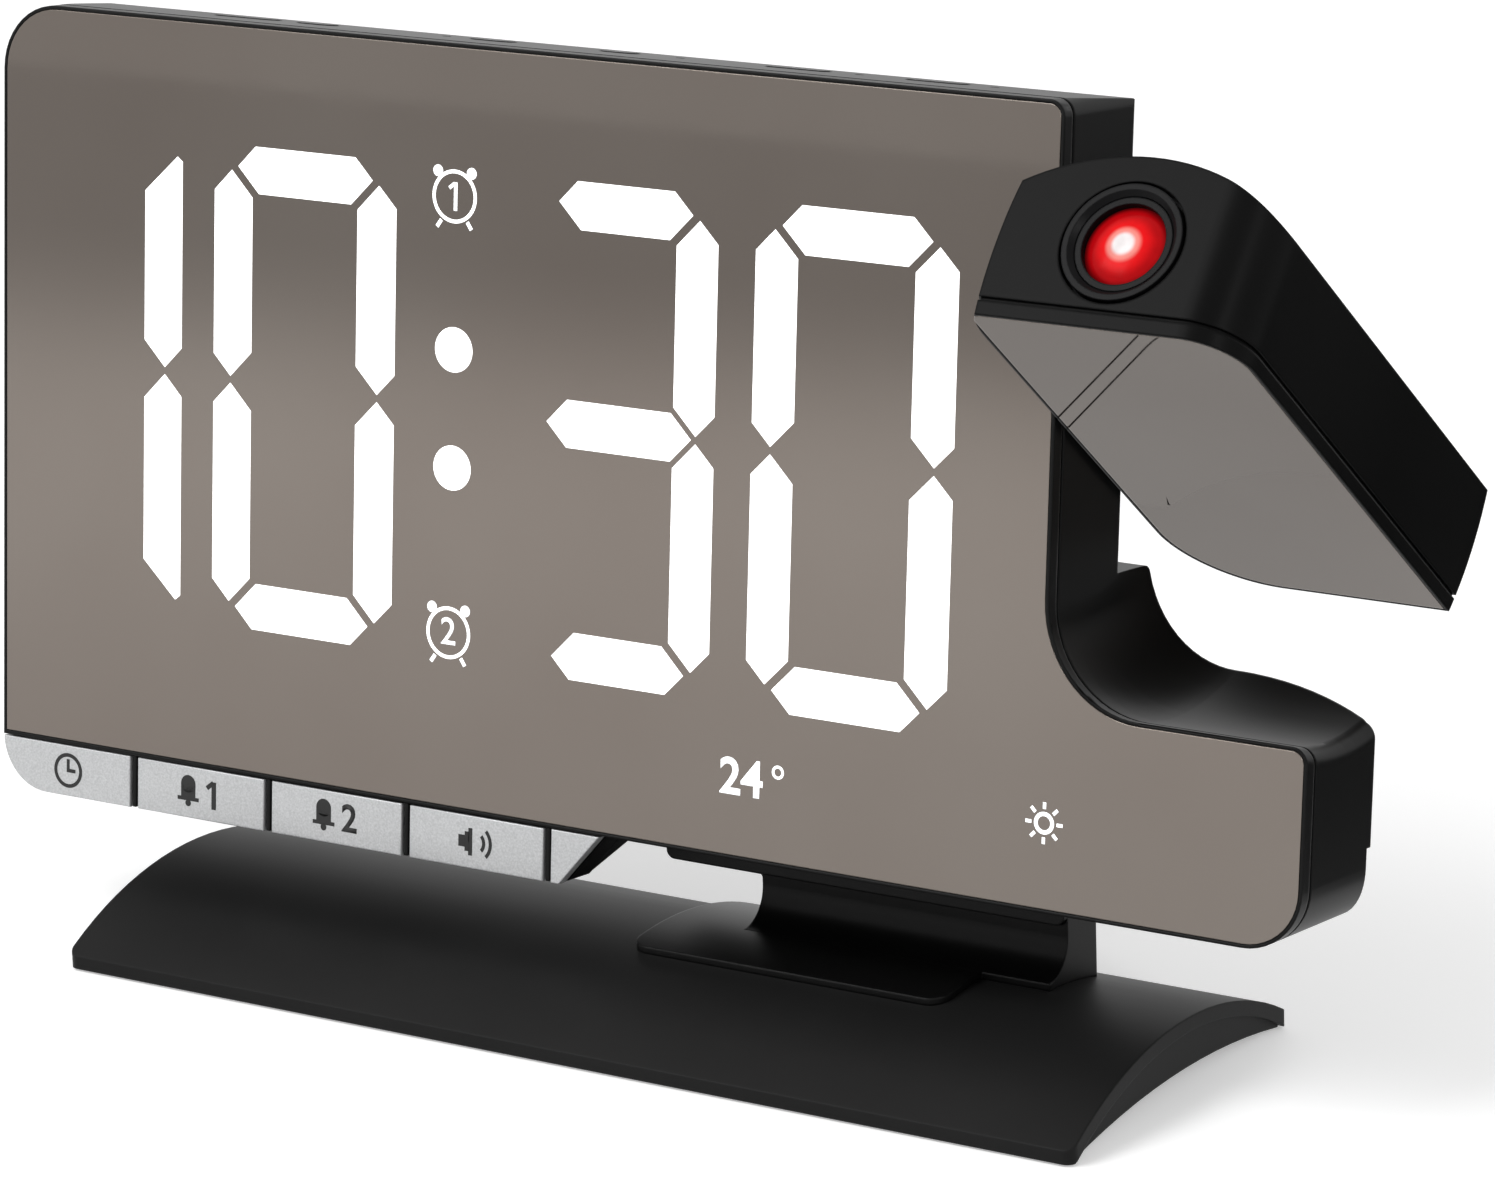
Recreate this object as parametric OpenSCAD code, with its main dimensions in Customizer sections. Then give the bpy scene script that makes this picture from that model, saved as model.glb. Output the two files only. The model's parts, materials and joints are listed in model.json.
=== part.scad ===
// Projection alarm clock: a thin mirror display with a swivelling projector
// head at its right-hand end, on an arched foot.
// Clock frame: X right, Y back from the mirror's front face, Z up from the
// mirror's lower edge. The clock frame leans back by `lean` on the stand.

/* [Clock front] */
// Mirror to the left of the first digit
margin_left = 0.8; // [0.8:0.1:4]
// Mirror to the right of the last digit
margin_right = 13.3; // [11:0.1:18]
// Mirror above the digits
margin_top = 15.2; // [12:0.1:18]
// Mirror below the digits
margin_bottom = 20.4; // [18:0.1:24]
// Width of the foot that carries on to the right, under the projector head
foot_out = 34.4; // [33:0.1:38]
// Height of the foot above the mirror's lower edge
foot_h = 23.2; // [20:0.1:26]
// Visible rim round each mirror
rim = 0.4; // [0.4:0.1:1]
// Thickness of the mirrors
mirror_t = 1.5; // [1.2:0.1:1.6]
// Radius of the panel's upper left corner
corner_r = 8.5; // [5:0.5:12]
// Radius of the foot's lower right corner
foot_corner_r = 7.5; // [5:0.5:10]
// Radius of the small outer corners
small_r = 2; // [1.4:0.1:3]
// Radius of the inside sweep between panel and foot
fillet_r = 12.5; // [10:0.5:14]

/* [Housing] */
// Depth of the slim upper housing
panel_d = 16.9; // [16:0.1:18]
// Fall of the housing's top face to the rear, degrees
top_draft = 4.5; // [2:0.5:6]
// Depth of the deep lower housing
rear_d = 23.5; // [23:0.1:26]
// Height of the deep lower housing above the mirror's lower edge
rear_h = 37.6; // [34:0.2:42]
// Depth of the foot at its right-hand end
foot_d = 16; // [15:0.1:18]
// Wall of the housing shells
wall = 2; // [1.6:0.1:2.2]
// Depth of the front frame, where it meets the rear shell
frame_d = 2.3; // [2.2:0.1:2.8]
// Width of the shadow groove along the seam
seam_w = 0.5; // [0.4:0.1:0.6]
// Depth of the shadow groove along the seam
seam_in = 0.3; // [0.2:0.05:0.4]
// Rounding of the rear edges
edge_r = 0.8; // [0.5:0.1:1.6]
// Backward lean of the clock on its stand, degrees
lean = 6; // [4:0.5:8]
// Height of the mirror's lower edge above the table
clock_z = 24.1; // [22:0.1:28]

/* [Projector head] */
// Swivel axis behind the mirror's front face
pivot_y = 8; // [7.8:0.1:8.4]
// Radius swept out of the foot round the swivel axis
shelf_r = 39.1; // [38.5:0.1:41]
// Running gap between the head and the clock
head_gap = 0.5; // [0.4:0.1:1]
// Height of the head's top above the swivel axis
head_up = 31.2; // [30:0.1:32]
// Depth of the head at its middle
head_d = 21.5; // [20.5:0.1:22.5]
// Depth of the head at its two sides
head_side_d = 16; // [15:0.1:17]
// Radius of the head's upper right corner
head_corner_r = 7; // [5:0.5:8]
// Forward tilt of the head from its closed place, degrees
head_tilt = 56; // [0:1:90]
// Radius of the hollow swivel shaft
shaft_r = 3.6; // [3.2:0.1:3.8]
// Running clearance of the shaft in its bearing
shaft_clear = 0.05; // [0.02:0.01:0.1]
// Outer radius of the focus ring
ring_r = 7.3; // [7:0.1:7.6]
// Radius of the projection lens
lens_r = 5.1; // [4.6:0.1:5.3]
// Running clearance of the focus ring and the lens barrel
focus_clear = 0.08; // [0.04:0.01:0.1]
// Travel of the lens barrel each way
focus_travel = 0.5; // [0.3:0.1:0.6]

/* [Keys] */
// Height of the key strip below the mirror's lower edge
strip_h = 7.4; // [7:0.1:8.2]
// Depth of the key strip housing
strip_d = 7; // [6.8:0.1:8]
// Spacing of the front keys
key_pitch = 21.5; // [20:0.1:22]
// Bar between two front keys
key_bar = 0.9; // [0.8:0.1:1.2]
// Side clearance of every key in its opening
key_clear = 0.2; // [0.15:0.05:0.3]
// Thickness of the front key caps
key_t = 0.9; // [0.8:0.1:1]
// Full travel of the keys
key_travel = 0.6; // [0.4:0.1:0.7]
// Width of the top keys, front to back
top_key_d = 3.2; // [2.8:0.1:3.4]
// Height of the top keys above the housing
top_key_up = 0.1; // [0.1:0.1:0.8]

/* [Display] */
// Height of the digits
digit_h = 59.4; // [56:0.2:61]
// Width of one digit
digit_w = 28; // [27:0.1:28.5]
// Width of a segment
seg_w = 6.1; // [5.5:0.1:6.6]
// Gap between the two hour digits
gap_hours = 5.1; // [3.5:0.1:7]
// Gap between the two minute digits
gap_minutes = 3.9; // [3.5:0.1:7]
// Room for the colon and the alarm symbols
colon_w = 20.5; // [18:0.1:23]
// Gap between the tips of two segments
seg_gap = 0.9; // [0.7:0.1:1.2]
// Radius of the colon's dots
dot_r = 2.8; // [2.2:0.1:3.2]
// Depth of the light box behind the mirror
light_box_d = 6; // [5.5:0.1:6.4]

/* [Stand] */
// Width of the arched base
base_w = 147; // [135:1:160]
// Depth of the arched base
base_d = 53; // [48:1:56]
// Front edge of the base, ahead of the mirror's lower edge
base_front = 17; // [14:0.5:18]
// How far the base stands right of the clock's middle
base_shift = 0.9; // [0:0.1:3]
// Radius of the base's corners
base_corner_r = 1.4; // [0.8:0.1:3]
// Thickness of the lip along the base's ends
lip_t = 1.9; // [1.5:0.1:2.2]
// How far the base's ends stand back under the lip
lip_in = 0.8; // [0.5:0.1:1]
// Height of the base's crown above the table
base_h = 9.4; // [9:0.1:10.5]
// Height of the base's edges above the table
base_edge_h = 2; // [1.8:0.1:2.4]
// Height of the arch under the base
arch_h = 2.4; // [2:0.1:2.8]
// Wall of the base shell
base_wall = 1.8; // [1.5:0.1:2]
// How far the rubber pads stand below the base
pad_out = 0.3; // [0.2:0.1:0.8]
// Width of the neck's block under the housing
block_w = 57; // [54:1:62]
// Height of the neck's block
block_drop = 5.7; // [5:0.1:6.5]
// Width of the neck's column
neck_w = 43.4; // [40:0.2:48]
// Width of the neck's foot plate
foot_w = 44.7; // [40:0.1:50]
// Thickness of the neck's foot plate
foot_t = 0.9; // [0.8:0.1:1.4]

/* [Hidden] */
$fn = 64;
panel_w = margin_left + 4 * digit_w + gap_hours + colon_w + gap_minutes + margin_right;
clock_w = panel_w + foot_out;
face_h = margin_bottom + digit_h + margin_top;
pivot_z = foot_h + shelf_r;
xl = -clock_w / 2;
xr = clock_w / 2;
xp = xl + panel_w;
// clearance between parts that are pressed or glued in place
seat = 0.1;
// how far a cutting shape runs past what it cuts
past = 1;

// ---- main lines of the stand ----
clock_lean_c = cos(lean);
clock_lean_s = sin(lean);
head_lean = head_tilt - lean;
sweep_r = shelf_r - head_gap;
head_back = head_d - pivot_y;
pivot_world_y = pivot_y * clock_lean_c + pivot_z * clock_lean_s;
rear_reach = pivot_world_y + head_back * cos(head_lean)
           + sqrt(sweep_r * sweep_r - head_back * head_back) * sin(head_lean);
// the origin lies under the middle of the whole clock
mid_y = (rear_reach - base_front) / 2;

// ---- keys ----
strip_edge = 0.4;
strip_r = 7;
n_keys = 4;
strip_end_w = 7.6;
strip_end_x = xl + strip_edge + n_keys * key_pitch + strip_end_w;
strip_slant = 6.4;
key_pocket = key_t + key_travel + 0.1;
key_top = 0.5;
plunger_r = 0.85;
plunger_clear = 0.15;
switch_y = frame_d + 0.2;
switch_d = 0.9;
switch_w = 3;
board_t = 1;
plunger_y = switch_y + 0.1;
key_mid_z = -(strip_h + strip_edge) / 2 + 0.1;
// middle and length of each top key, from the left edge of the clock
top_keys = [[30.2, 10], [41.2, 6], [68, 6.5], [86.8, 5.5], [112.4, 9], [131.8, 8.5]];
top_key_y = 11.4;
top_flange_t = 0.8;
top_board_drop = 6.4;
top_board_z = face_h - wall - top_board_drop;
top_board_over = 8.2;
top_switch_h = 2.2;

// ---- display ----
digit_z = margin_bottom;
digit_mid = digit_z + digit_h / 2;
hours_x = xl + margin_left;
tens_x = hours_x + digit_w + gap_hours + digit_w + colon_w;
digit_x = [hours_x, hours_x + digit_w + gap_hours, tens_x, tens_x + digit_w + gap_minutes];
// segments lit: top, upper right, lower right, bottom, lower left, upper left, middle
digit_on = [[0, 1, 1, 0, 0, 0, 0], [1, 1, 1, 1, 1, 1, 0], [1, 1, 1, 1, 0, 0, 1], [1, 1, 1, 1, 1, 1, 0]];
colon_x = tens_x - 11.6;
colon_z = [digit_mid - 7.4, digit_mid + 7.3];
icon_x = colon_x - 0.2;
icon_z = [digit_z + 1.6, digit_z + digit_h - 3.5];
icon_r = 3.1;
icon_line = 0.5;
window_t = 0.3;
// the first digit is only ever a 1, so the box starts beside its upright
box_x0 = hours_x + digit_w - seg_w - 6;
box_x1 = digit_x[3] + digit_w + 1.9;
box_z0 = digit_z - 4.4;
box_z1 = digit_z + digit_h + 4.7;
box_lip = 1.4;
box_lip_t = 1;
// lower part of the light box, behind the small indicators
low_box_x0 = tens_x + 21.6;
low_box_x1 = xp + 8.2;
low_box_z0 = 5;
low_box_z1 = 15;
box_back = mirror_t + light_box_d;
board_back = box_back + 1.4;

// ---- lower housing ----
block_x0 = xr - 96.6;
arc_w = 22;
arc_x = xr - arc_w;
arc_drop = rear_d - foot_d;
arc_r = (arc_w * arc_w + arc_drop * arc_drop) / (2 * arc_drop);
back_in = rear_d - wall;
speaker_x = xl + 34;
speaker_z = 19;
speaker_r = 14;
speaker_t = 5;
grille_hole_r = 0.9;
grille_pitch = 3;
cell_x = block_x0 - 14.4;
cell_z = 19;
cell_r = 10;
cell_t = 3.2;
door_w = 26;
door_t = 1.6;
tray_wall = 1.2;
port_z = 8;
usb_x = xr - 25;
usb_w = 13.2;
usb_h = 5.8;
usb_len = 10;
dc_x = xr - 43;
dc_w = 9;
dc_h = 8;
dc_hole_r = 1.85;
dc_pin_r = 0.65;
main_board_x0 = dc_x - 7;
main_board_x1 = usb_x + 7.5;

// ---- screws ----
screw_r = 1.1;
screw_head_r = 2;
screw_head_t = 1.3;
boss_r = 2.6;
boss_end = 9.5;
screw_in = 6.6;
// case screws: x, z, depth of the housing there
case_screws = [[xl + screw_in, face_h - 12, panel_d], [xl + screw_in, rear_h + 12.4, panel_d],
               [xp - screw_in, box_z1 + 4.8, panel_d], [xl + 13, 8, rear_d],
               [block_x0 + 4, 8, rear_d], [xr - 10, 8, lower_depth(xr - 10)]];
// depth of the lower housing at x
function lower_depth(x) = x < arc_x ? rear_d
  : rear_d - arc_r + sqrt(arc_r * arc_r - (x - arc_x) * (x - arc_x));

// ---- stand ----
neck_x0 = block_x0 + block_w - neck_w;
foot_x0 = block_x0 + 2.9;
block_y0 = 15.5;
block_r = 1.2;
tongue_w = 26;
tongue_d = 3.4;
tongue_h = 9;
base_y0 = -base_front;
base_y1 = base_d - base_front;
base_mid = (base_y0 + base_y1) / 2;
crown = base_h - base_edge_h;
crown_r = (base_d * base_d / 4 + crown * crown) / (2 * crown);
arch_span = base_d - 3;
arch_r = (arch_span * arch_span / 4 + arch_h * arch_h) / (2 * arch_h);
base_x0 = base_shift - base_w / 2;
base_x1 = base_shift + base_w / 2;
pad_w = 3;
pad_len = 18;
neck_front = 15.7;
neck_back = 22.6;
neck_sweep_r = 4.5;
foot_y0 = 1.5;
foot_y1 = 29;
foot_r = 2.5;
base_post_r = 3.4;
base_screw_x = [neck_x0 + 10, neck_x0 + neck_w - 10];
base_screw_y = (neck_front + neck_back) / 2;
base_screw_z = pad_out + arch_h - arch_r
             + sqrt(arch_r * arch_r - (base_screw_y - base_mid) * (base_screw_y - base_mid));
cover_t = 1.4;
base_boss_h = 3;
base_edge_w = 6;
pad_in = 0.6;
weight_t = 2;
weight_y1 = base_screw_y - base_post_r - 1;
weight_y0 = weight_y1 - 19;
neck_screw_x = [block_x0 + block_w / 2 - 9, block_x0 + block_w / 2 + 9];
neck_screw_z = tongue_h / 2;

// ---- battery ----
cell_y1 = rear_d - door_t - 0.4;
cell_y0 = cell_y1 - cell_t;
tray_floor = cell_y0 - 1.2;
door_screw_x = cell_x + door_w / 2 - 3.2;
door_screw_z = cell_z + door_w / 2 - 3.2;

// ---- projector head ----
head_x0 = xp + head_gap;
head_z1 = pivot_z + head_up;
head_z0 = pivot_z - sqrt(sweep_r * sweep_r - pivot_y * pivot_y);
head_mid_x = (head_x0 + xr) / 2;
head_half = (xr - head_x0) / 2;
head_bulge = head_d - head_side_d;
head_arc_r = (head_half * head_half + head_bulge * head_bulge) / (2 * head_bulge);
head_wall = 1.8;
head_frame_d = frame_d;
// depth of the head at x
function head_depth(x) = head_d - head_arc_r
  + sqrt(head_arc_r * head_arc_r - (x - head_mid_x) * (x - head_mid_x));
head_screws_at = [[head_x0 + 8.1, pivot_z - 15.3], [xr - 8, pivot_z - 24.3]];
head_post_r = 2.3;
head_small_r = 1.6;
washer_t = 0.5;
snap_t = 0.75;
groove_d = 0.5;
// the shaft ends beside the light box
shaft_x0 = box_x1 + box_lip + 0.65;
ring_x0 = shaft_x0 + 0.6;
bearing_x = ring_x0 + snap_t + 0.1 + washer_t;
shaft_flange_x = head_x0 + head_wall + 1.6;
lens_x = head_mid_x - 0.4;
lens_y = 10.7;
barrel_r = lens_r + 0.8;
barrel_bore_r = barrel_r + focus_clear;
barrel_z0 = head_z1 - 9;
ring_z0 = head_z1 - 3.4;
ring_z1 = head_z1 + 0.2;
// screwed right out, the barrel stays inside the ring
barrel_z1 = ring_z1 - 0.1 - focus_travel;
ring_hole_r = ring_r + 0.35;
collar_r = 8;
collar_z1 = head_z1 - head_wall - 0.3;
tube_z1 = ring_z0 - 0.1;
tube_len = 17;
tube_wall = 1.1;

// ======== placing ========
module in_world() { translate([0, -mid_y, 0]) children(); }
module in_clock() {
  in_world() translate([0, 0, clock_z]) rotate([-lean, 0, 0]) children();
}
module in_head() {
  in_clock() translate([0, pivot_y, pivot_z]) rotate([head_tilt, 0, 0])
    translate([0, -pivot_y, -pivot_z]) children();
}

// ======== general shapes ========
// 2D drawing in X and Z, thick from y0 to y1
module slab(y0, y1) {
  translate([0, y1, 0]) rotate([90, 0, 0]) linear_extrude(y1 - y0) children();
}
// 2D drawing in Y and Z, long from x0 to x1
module bar(x0, x1) {
  translate([x0, 0, 0]) rotate([90, 0, 90]) linear_extrude(x1 - x0) children();
}
// 2D drawing in X and Y, high from z0 to z1
module plate(z0, z1) {
  translate([0, 0, z0]) linear_extrude(z1 - z0) children();
}
// what a rounding takes off a corner at (x, z) that points to (sx, sz)
module corner(x, z, sx, sz, r) {
  translate([x - sx * r, z - sz * r])
    difference() {
      translate([sx > 0 ? 0 : -r - past, sz > 0 ? 0 : -r - past]) square(r + past);
      circle(r);
    }
}
module rounded(x0, z0, x1, z1, r) {
  difference() {
    translate([x0, z0]) square([x1 - x0, z1 - z0]);
    corner(x0, z0, -1, -1, r);
    corner(x1, z0, 1, -1, r);
    corner(x0, z1, -1, 1, r);
    corner(x1, z1, 1, 1, r);
  }
}
// turns what stands on the top face so that it follows the face's fall to the rear
module on_top() {
  translate([0, frame_d, face_h]) rotate([-top_draft, 0, 0]) translate([0, -frame_d, -face_h]) children();
}
module pill(x, z, length, width) {
  rounded(x - length / 2, z - width / 2, x + length / 2, z + width / 2, width / 2 - 0.02);
}
// round rod along Y
module rod_y(x, z, r, y0, y1) {
  translate([x, y1, z]) rotate([90, 0, 0]) cylinder(r = r, h = y1 - y0);
}
// round rod along X
module rod_x(y, z, r, x0, x1) {
  translate([x0, y, z]) rotate([0, 90, 0]) cylinder(r = r, h = x1 - x0);
}
// block between two corners
module block(a, b) { translate(a) cube(b - a); }

// ======== outer form of the clock ========
// front outline, drawn in by i on every side
module outline(i) {
  difference() {
    translate([xl + i, -rim + i]) square([clock_w - 2 * i, face_h + rim - 2 * i]);
    corner(xl + i, face_h - i, -1, 1, corner_r - i);
    corner(xr - i, -rim + i, 1, -1, foot_corner_r - i);
    corner(xp - i, face_h - i, 1, 1, max(0.4, small_r - i));
  }
}
// outline of the key strip under the mirror, drawn in by i
module strip_outline(i) {
  difference() {
    polygon([[xl + i, 0], [xl + i, -strip_h + i],
             [strip_end_x - strip_slant - 1.2 * i, -strip_h + i], [strip_end_x - 1.2 * i, 0]]);
    corner(xl + i, -strip_h + i, -1, -1, strip_r - i);
  }
}
// room that the turning head needs, grown by g: a round space about the swivel axis
module head_space(g) {
  translate([0, pivot_y, pivot_z]) rotate([0, 90, 0]) rotate_extrude($fn = 96) {
    difference() {
      translate([0, xp - g]) square([shelf_r + g, clock_w - panel_w + g + past]);
      corner(shelf_r + g, xp - g, 1, -1, fillet_r + g);
    }
    if (g >= 0 && g < small_r - 0.3)
      difference() {
        translate([shelf_r + g - 0.01, xr - small_r])
          square([small_r - g + 0.01, small_r + past]);
        translate([shelf_r + small_r, xr - small_r]) circle(small_r - g);
      }
  }
}
// height of the housing's top face at y
function top_z(y) = face_h - (y - frame_d) * tan(top_draft);
module upper_form(i) {
  r = max(0.4, edge_r - i);
  intersection() {
    slab(0, panel_d - i) outline(i);
    bar(xl - past, xr + past)
      difference() {
        polygon([[0, rear_h / 4], [panel_d - i, rear_h / 4], [panel_d - i, top_z(panel_d - i) - i],
                 [frame_d, face_h - i], [0, face_h - i]]);
        corner(panel_d - i, top_z(panel_d - i - r) - i, 1, 1, r);
      }
    plate(-rim - past, face_h + past)
      difference() {
        translate([xl - past, 0]) square([clock_w + 2 * past, panel_d - i]);
        corner(xl + i, panel_d - i, -1, 1, r);
        corner(xp - i, panel_d - i, 1, 1, r);
      }
  }
}
module lower_form(i) {
  r = max(0.4, edge_r - i);
  intersection() {
    slab(0, rear_d - i) outline(i);
    bar(xl - past, xr + past)
      difference() {
        translate([0, -rim - past]) square([rear_d - i, rear_h - i + rim + past]);
        corner(rear_d - i, rear_h - i, 1, 1, r);
        corner(rear_d - i, -rim + i, 1, -1, r);
      }
    plate(-rim - past, rear_h + past)
      difference() {
        translate([xl - past, 0]) square([clock_w + 2 * past, rear_d - i]);
        corner(xl + i, rear_d - i, -1, 1, corner_r - i);
        difference() {
          translate([arc_x, 0]) square([clock_w, rear_d]);
          translate([arc_x, rear_d - arc_r]) circle(arc_r - i, $fn = 128);
        }
      }
  }
}
// the panel's right edge runs straight up from the swivel axis
module beside_head(g) { block([xp - g, -past, pivot_z], [xr + past, rear_d + past, face_h + past]); }
module form(i) {
  difference() {
    union() {
      upper_form(i);
      lower_form(i);
      slab(0, strip_d - i) strip_outline(i);
    }
    head_space(i);
    beside_head(i);
  }
}
module mirror_solid(y0, y1, gap) {
  difference() {
    slab(y0, y1) outline(rim + gap);
    head_space(rim + gap);
    beside_head(rim + gap);
  }
}

// ======== display ========
// flat-topped segment lying along X: outer edge up, tips drawn in
module seg_flat(x0, x1, z_out, up) {
  tip = seg_w * 0.37;
  polygon([[x0, z_out - up * tip], [x0 + tip, z_out], [x1 - tip, z_out], [x1, z_out - up * tip],
           [x1 - seg_w + tip, z_out - up * seg_w], [x0 + seg_w - tip, z_out - up * seg_w]]);
}
module seg_mid(x0, x1, z) {
  polygon([[x0, z], [x0 + seg_w / 2, z + seg_w / 2], [x1 - seg_w / 2, z + seg_w / 2],
           [x1, z], [x1 - seg_w / 2, z - seg_w / 2], [x0 + seg_w / 2, z - seg_w / 2]]);
}
// segment standing along Z, its outer edge at x_out towards side
module seg_tall(x_out, side, z0, z1) {
  half = seg_w * 0.45;
  polygon([[x_out - side * half, z0], [x_out, z0 + half], [x_out, z1 - half],
           [x_out - side * half, z1], [x_out - side * seg_w, z1 - seg_w + half],
           [x_out - side * seg_w, z0 + seg_w - half]]);
}
module digit(x, on) {
  top = digit_z + digit_h;
  mid = digit_z + digit_h / 2;
  inset = seg_w * 0.62;
  low0 = digit_z + inset - seg_gap / 2;
  if (on[0]) seg_flat(x + inset, x + digit_w - inset, top, 1);
  if (on[1]) seg_tall(x + digit_w, 1, mid + seg_gap / 2, top - inset + seg_gap / 2);
  if (on[2]) seg_tall(x + digit_w, 1, low0, mid - seg_gap / 2);
  if (on[3]) seg_flat(x + inset, x + digit_w - inset, digit_z, -1);
  if (on[4]) seg_tall(x, -1, low0, mid - seg_gap / 2);
  if (on[5]) seg_tall(x, -1, mid + seg_gap / 2, top - inset + seg_gap / 2);
  if (on[6]) seg_mid(x + seg_w * 0.4, x + digit_w - seg_w * 0.75, mid);
}
module lit_shapes() {
  for (k = [0:3]) digit(digit_x[k], digit_on[k]);
  for (z = colon_z) translate([colon_x, z]) circle(dot_r);
  for (z = icon_z) translate([icon_x, z])
    difference() {
      circle(icon_r);
      circle(icon_r - icon_line);
    }
}
// openings of the light box behind what is lit
module light_wells() {
  for (k = [0:3]) digit(digit_x[k], digit_on[k]);
  for (z = colon_z) translate([colon_x, z]) circle(dot_r);
  for (z = icon_z) translate([icon_x, z]) circle(icon_r);
}
module frame_2d(x0, z0, x1, z1) { translate([x0, z0]) square([x1 - x0, z1 - z0]); }
module light_box_2d(g) {
  frame_2d(box_x0 - g, box_z0 - g, box_x1 + g, box_z1 + g);
  frame_2d(low_box_x0 - g, low_box_z0 - g, low_box_x1 + g, low_box_z1 + g);
  frame_2d(low_box_x0 - g, low_box_z0 - g, box_x1 + g, box_z0 + past);
}

// ======== keys ========
module key_2d(k, gap) {
  x0 = xl + strip_edge + k * key_pitch;
  intersection() {
    strip_outline(strip_edge + gap);
    translate([x0 + gap - (k == 0 ? past : 0), -strip_h])
      square([key_pitch - key_bar - 2 * gap + (k == 0 ? past : 0), strip_h - key_top - gap]);
  }
}
function key_x(k) = xl + strip_edge + (k + 0.5) * key_pitch - key_bar / 2;
module front_key(k) {
  in_clock() color("silver") {
    slab(0, key_t) key_2d(k, key_clear);
    rod_y(key_x(k), key_mid_z, plunger_r, key_t - 0.2, plunger_y);
  }
}
module end_2d(gap) {
  x0 = xl + strip_edge + n_keys * key_pitch;
  intersection() {
    strip_outline(strip_edge + gap);
    translate([x0 + gap, -strip_h]) square([key_pitch, strip_h - key_top - gap]);
  }
}
function top_key_x(k) = xl + top_keys[k][0];
module top_key(k) {
  length = top_keys[k][1];
  x = top_key_x(k);
  in_clock() on_top() color([0.08, 0.08, 0.09]) {
    plate(face_h - wall - 0.1, face_h + top_key_up)
      pill(x, top_key_y, length - 2 * key_clear, top_key_d - 2 * key_clear);
    plate(face_h - wall - 0.1 - top_flange_t, face_h - wall - 0.1)
      pill(x, top_key_y, length + 1.2, top_key_d + 1);
    translate([x, top_key_y, top_board_z + board_t + top_switch_h - 0.3])
      cylinder(r = plunger_r, h = face_h - wall - 0.2 - top_board_z - board_t - top_switch_h);
  }
}

// ======== clock: front ========
module case_boss(k) {
  rod_y(case_screws[k][0], case_screws[k][1], boss_r, mirror_t + 0.5, boss_end);
}
module front_frame() {
  in_clock() color([0.06, 0.06, 0.07]) difference() {
    union() {
      intersection() {
        form(0);
        block([xl - past, 0, -strip_h - past], [xr + past, frame_d, face_h + past]);
      }
      for (k = [0:len(case_screws) - 1]) case_boss(k);
    }
    // shadow groove along the seam
    difference() {
      block([xl - past, frame_d - seam_w, -strip_h - past], [xr + past, frame_d + 0.2, face_h + past]);
      form(seam_in);
    }
    mirror_solid(-past, mirror_t, 0);
    slab(0, frame_d + past) light_box_2d(seat);
    for (k = [0:n_keys - 1]) {
      slab(-past, key_pocket) key_2d(k, 0);
      rod_y(key_x(k), key_mid_z, plunger_r + plunger_clear, 0, frame_d + past);
    }
    slab(-past, mirror_t) end_2d(0);
    for (k = [0:len(case_screws) - 1])
      rod_y(case_screws[k][0], case_screws[k][1], screw_r, mirror_t + 1, boss_end + past);
  }
}
module mirror_panel() {
  in_clock() color([0.45, 0.42, 0.39]) difference() {
    mirror_solid(0, mirror_t, seat);
    slab(-past, window_t) lit_shapes();
  }
}
module digit_windows() {
  in_clock() color("white") slab(0, window_t) lit_shapes();
}
module light_box() {
  in_clock() color("whitesmoke") difference() {
    union() {
      slab(mirror_t, box_back) light_box_2d(0);
      slab(frame_d, frame_d + box_lip_t) light_box_2d(box_lip);
    }
    slab(mirror_t - past, box_back + past) light_wells();
  }
}
module display_board() {
  in_clock() color("darkgreen") slab(box_back, board_back) light_box_2d(0);
}
// light emitting diodes: two behind each standing segment, two behind each flat one
module led(x, z) {
  block([x - 0.8, box_back - 0.8, z - 0.8], [x + 0.8, box_back, z + 0.8]);
}
module digit_leds(x, on) {
  mid = digit_z + digit_h / 2;
  half = seg_w / 2;
  for (s = [-1, 1]) {
    if (on[0]) led(x + digit_w / 2 + s * 5, digit_z + digit_h - half);
    if (on[1]) led(x + digit_w - half, mid + digit_h / 4 + s * 6);
    if (on[2]) led(x + digit_w - half, mid - digit_h / 4 + s * 6);
    if (on[3]) led(x + digit_w / 2 + s * 5, digit_z + half);
    if (on[4]) led(x + half, mid - digit_h / 4 + s * 6);
    if (on[5]) led(x + half, mid + digit_h / 4 + s * 6);
    if (on[6]) led(x + digit_w / 2 + s * 5 - 1, mid);
  }
}
module display_leds() {
  in_clock() color("lightyellow") {
    for (k = [0:3]) digit_leds(digit_x[k], digit_on[k]);
    for (z = concat(colon_z, icon_z)) led(colon_x, z);
  }
}
module strip_end() {
  in_clock() color("silver") slab(0, mirror_t) end_2d(seat);
}
module key_board() {
  in_clock() color("darkgreen")
    slab(switch_y + switch_d, strip_d - wall)
      translate([key_x(0) - 3, -strip_h + wall + seat])
        square([(n_keys - 1) * key_pitch + 6, strip_h - wall - 3 * seat]);
}
module key_switches() {
  in_clock() color("dimgray") for (k = [0:n_keys - 1]) difference() {
    block([key_x(k) - switch_w / 2, switch_y, key_mid_z - switch_w / 2],
          [key_x(k) + switch_w / 2, switch_y + switch_d, key_mid_z + switch_w / 2]);
    rod_y(key_x(k), key_mid_z, plunger_r + plunger_clear, switch_y - past, switch_y + switch_d - 0.1);
  }
}

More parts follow.
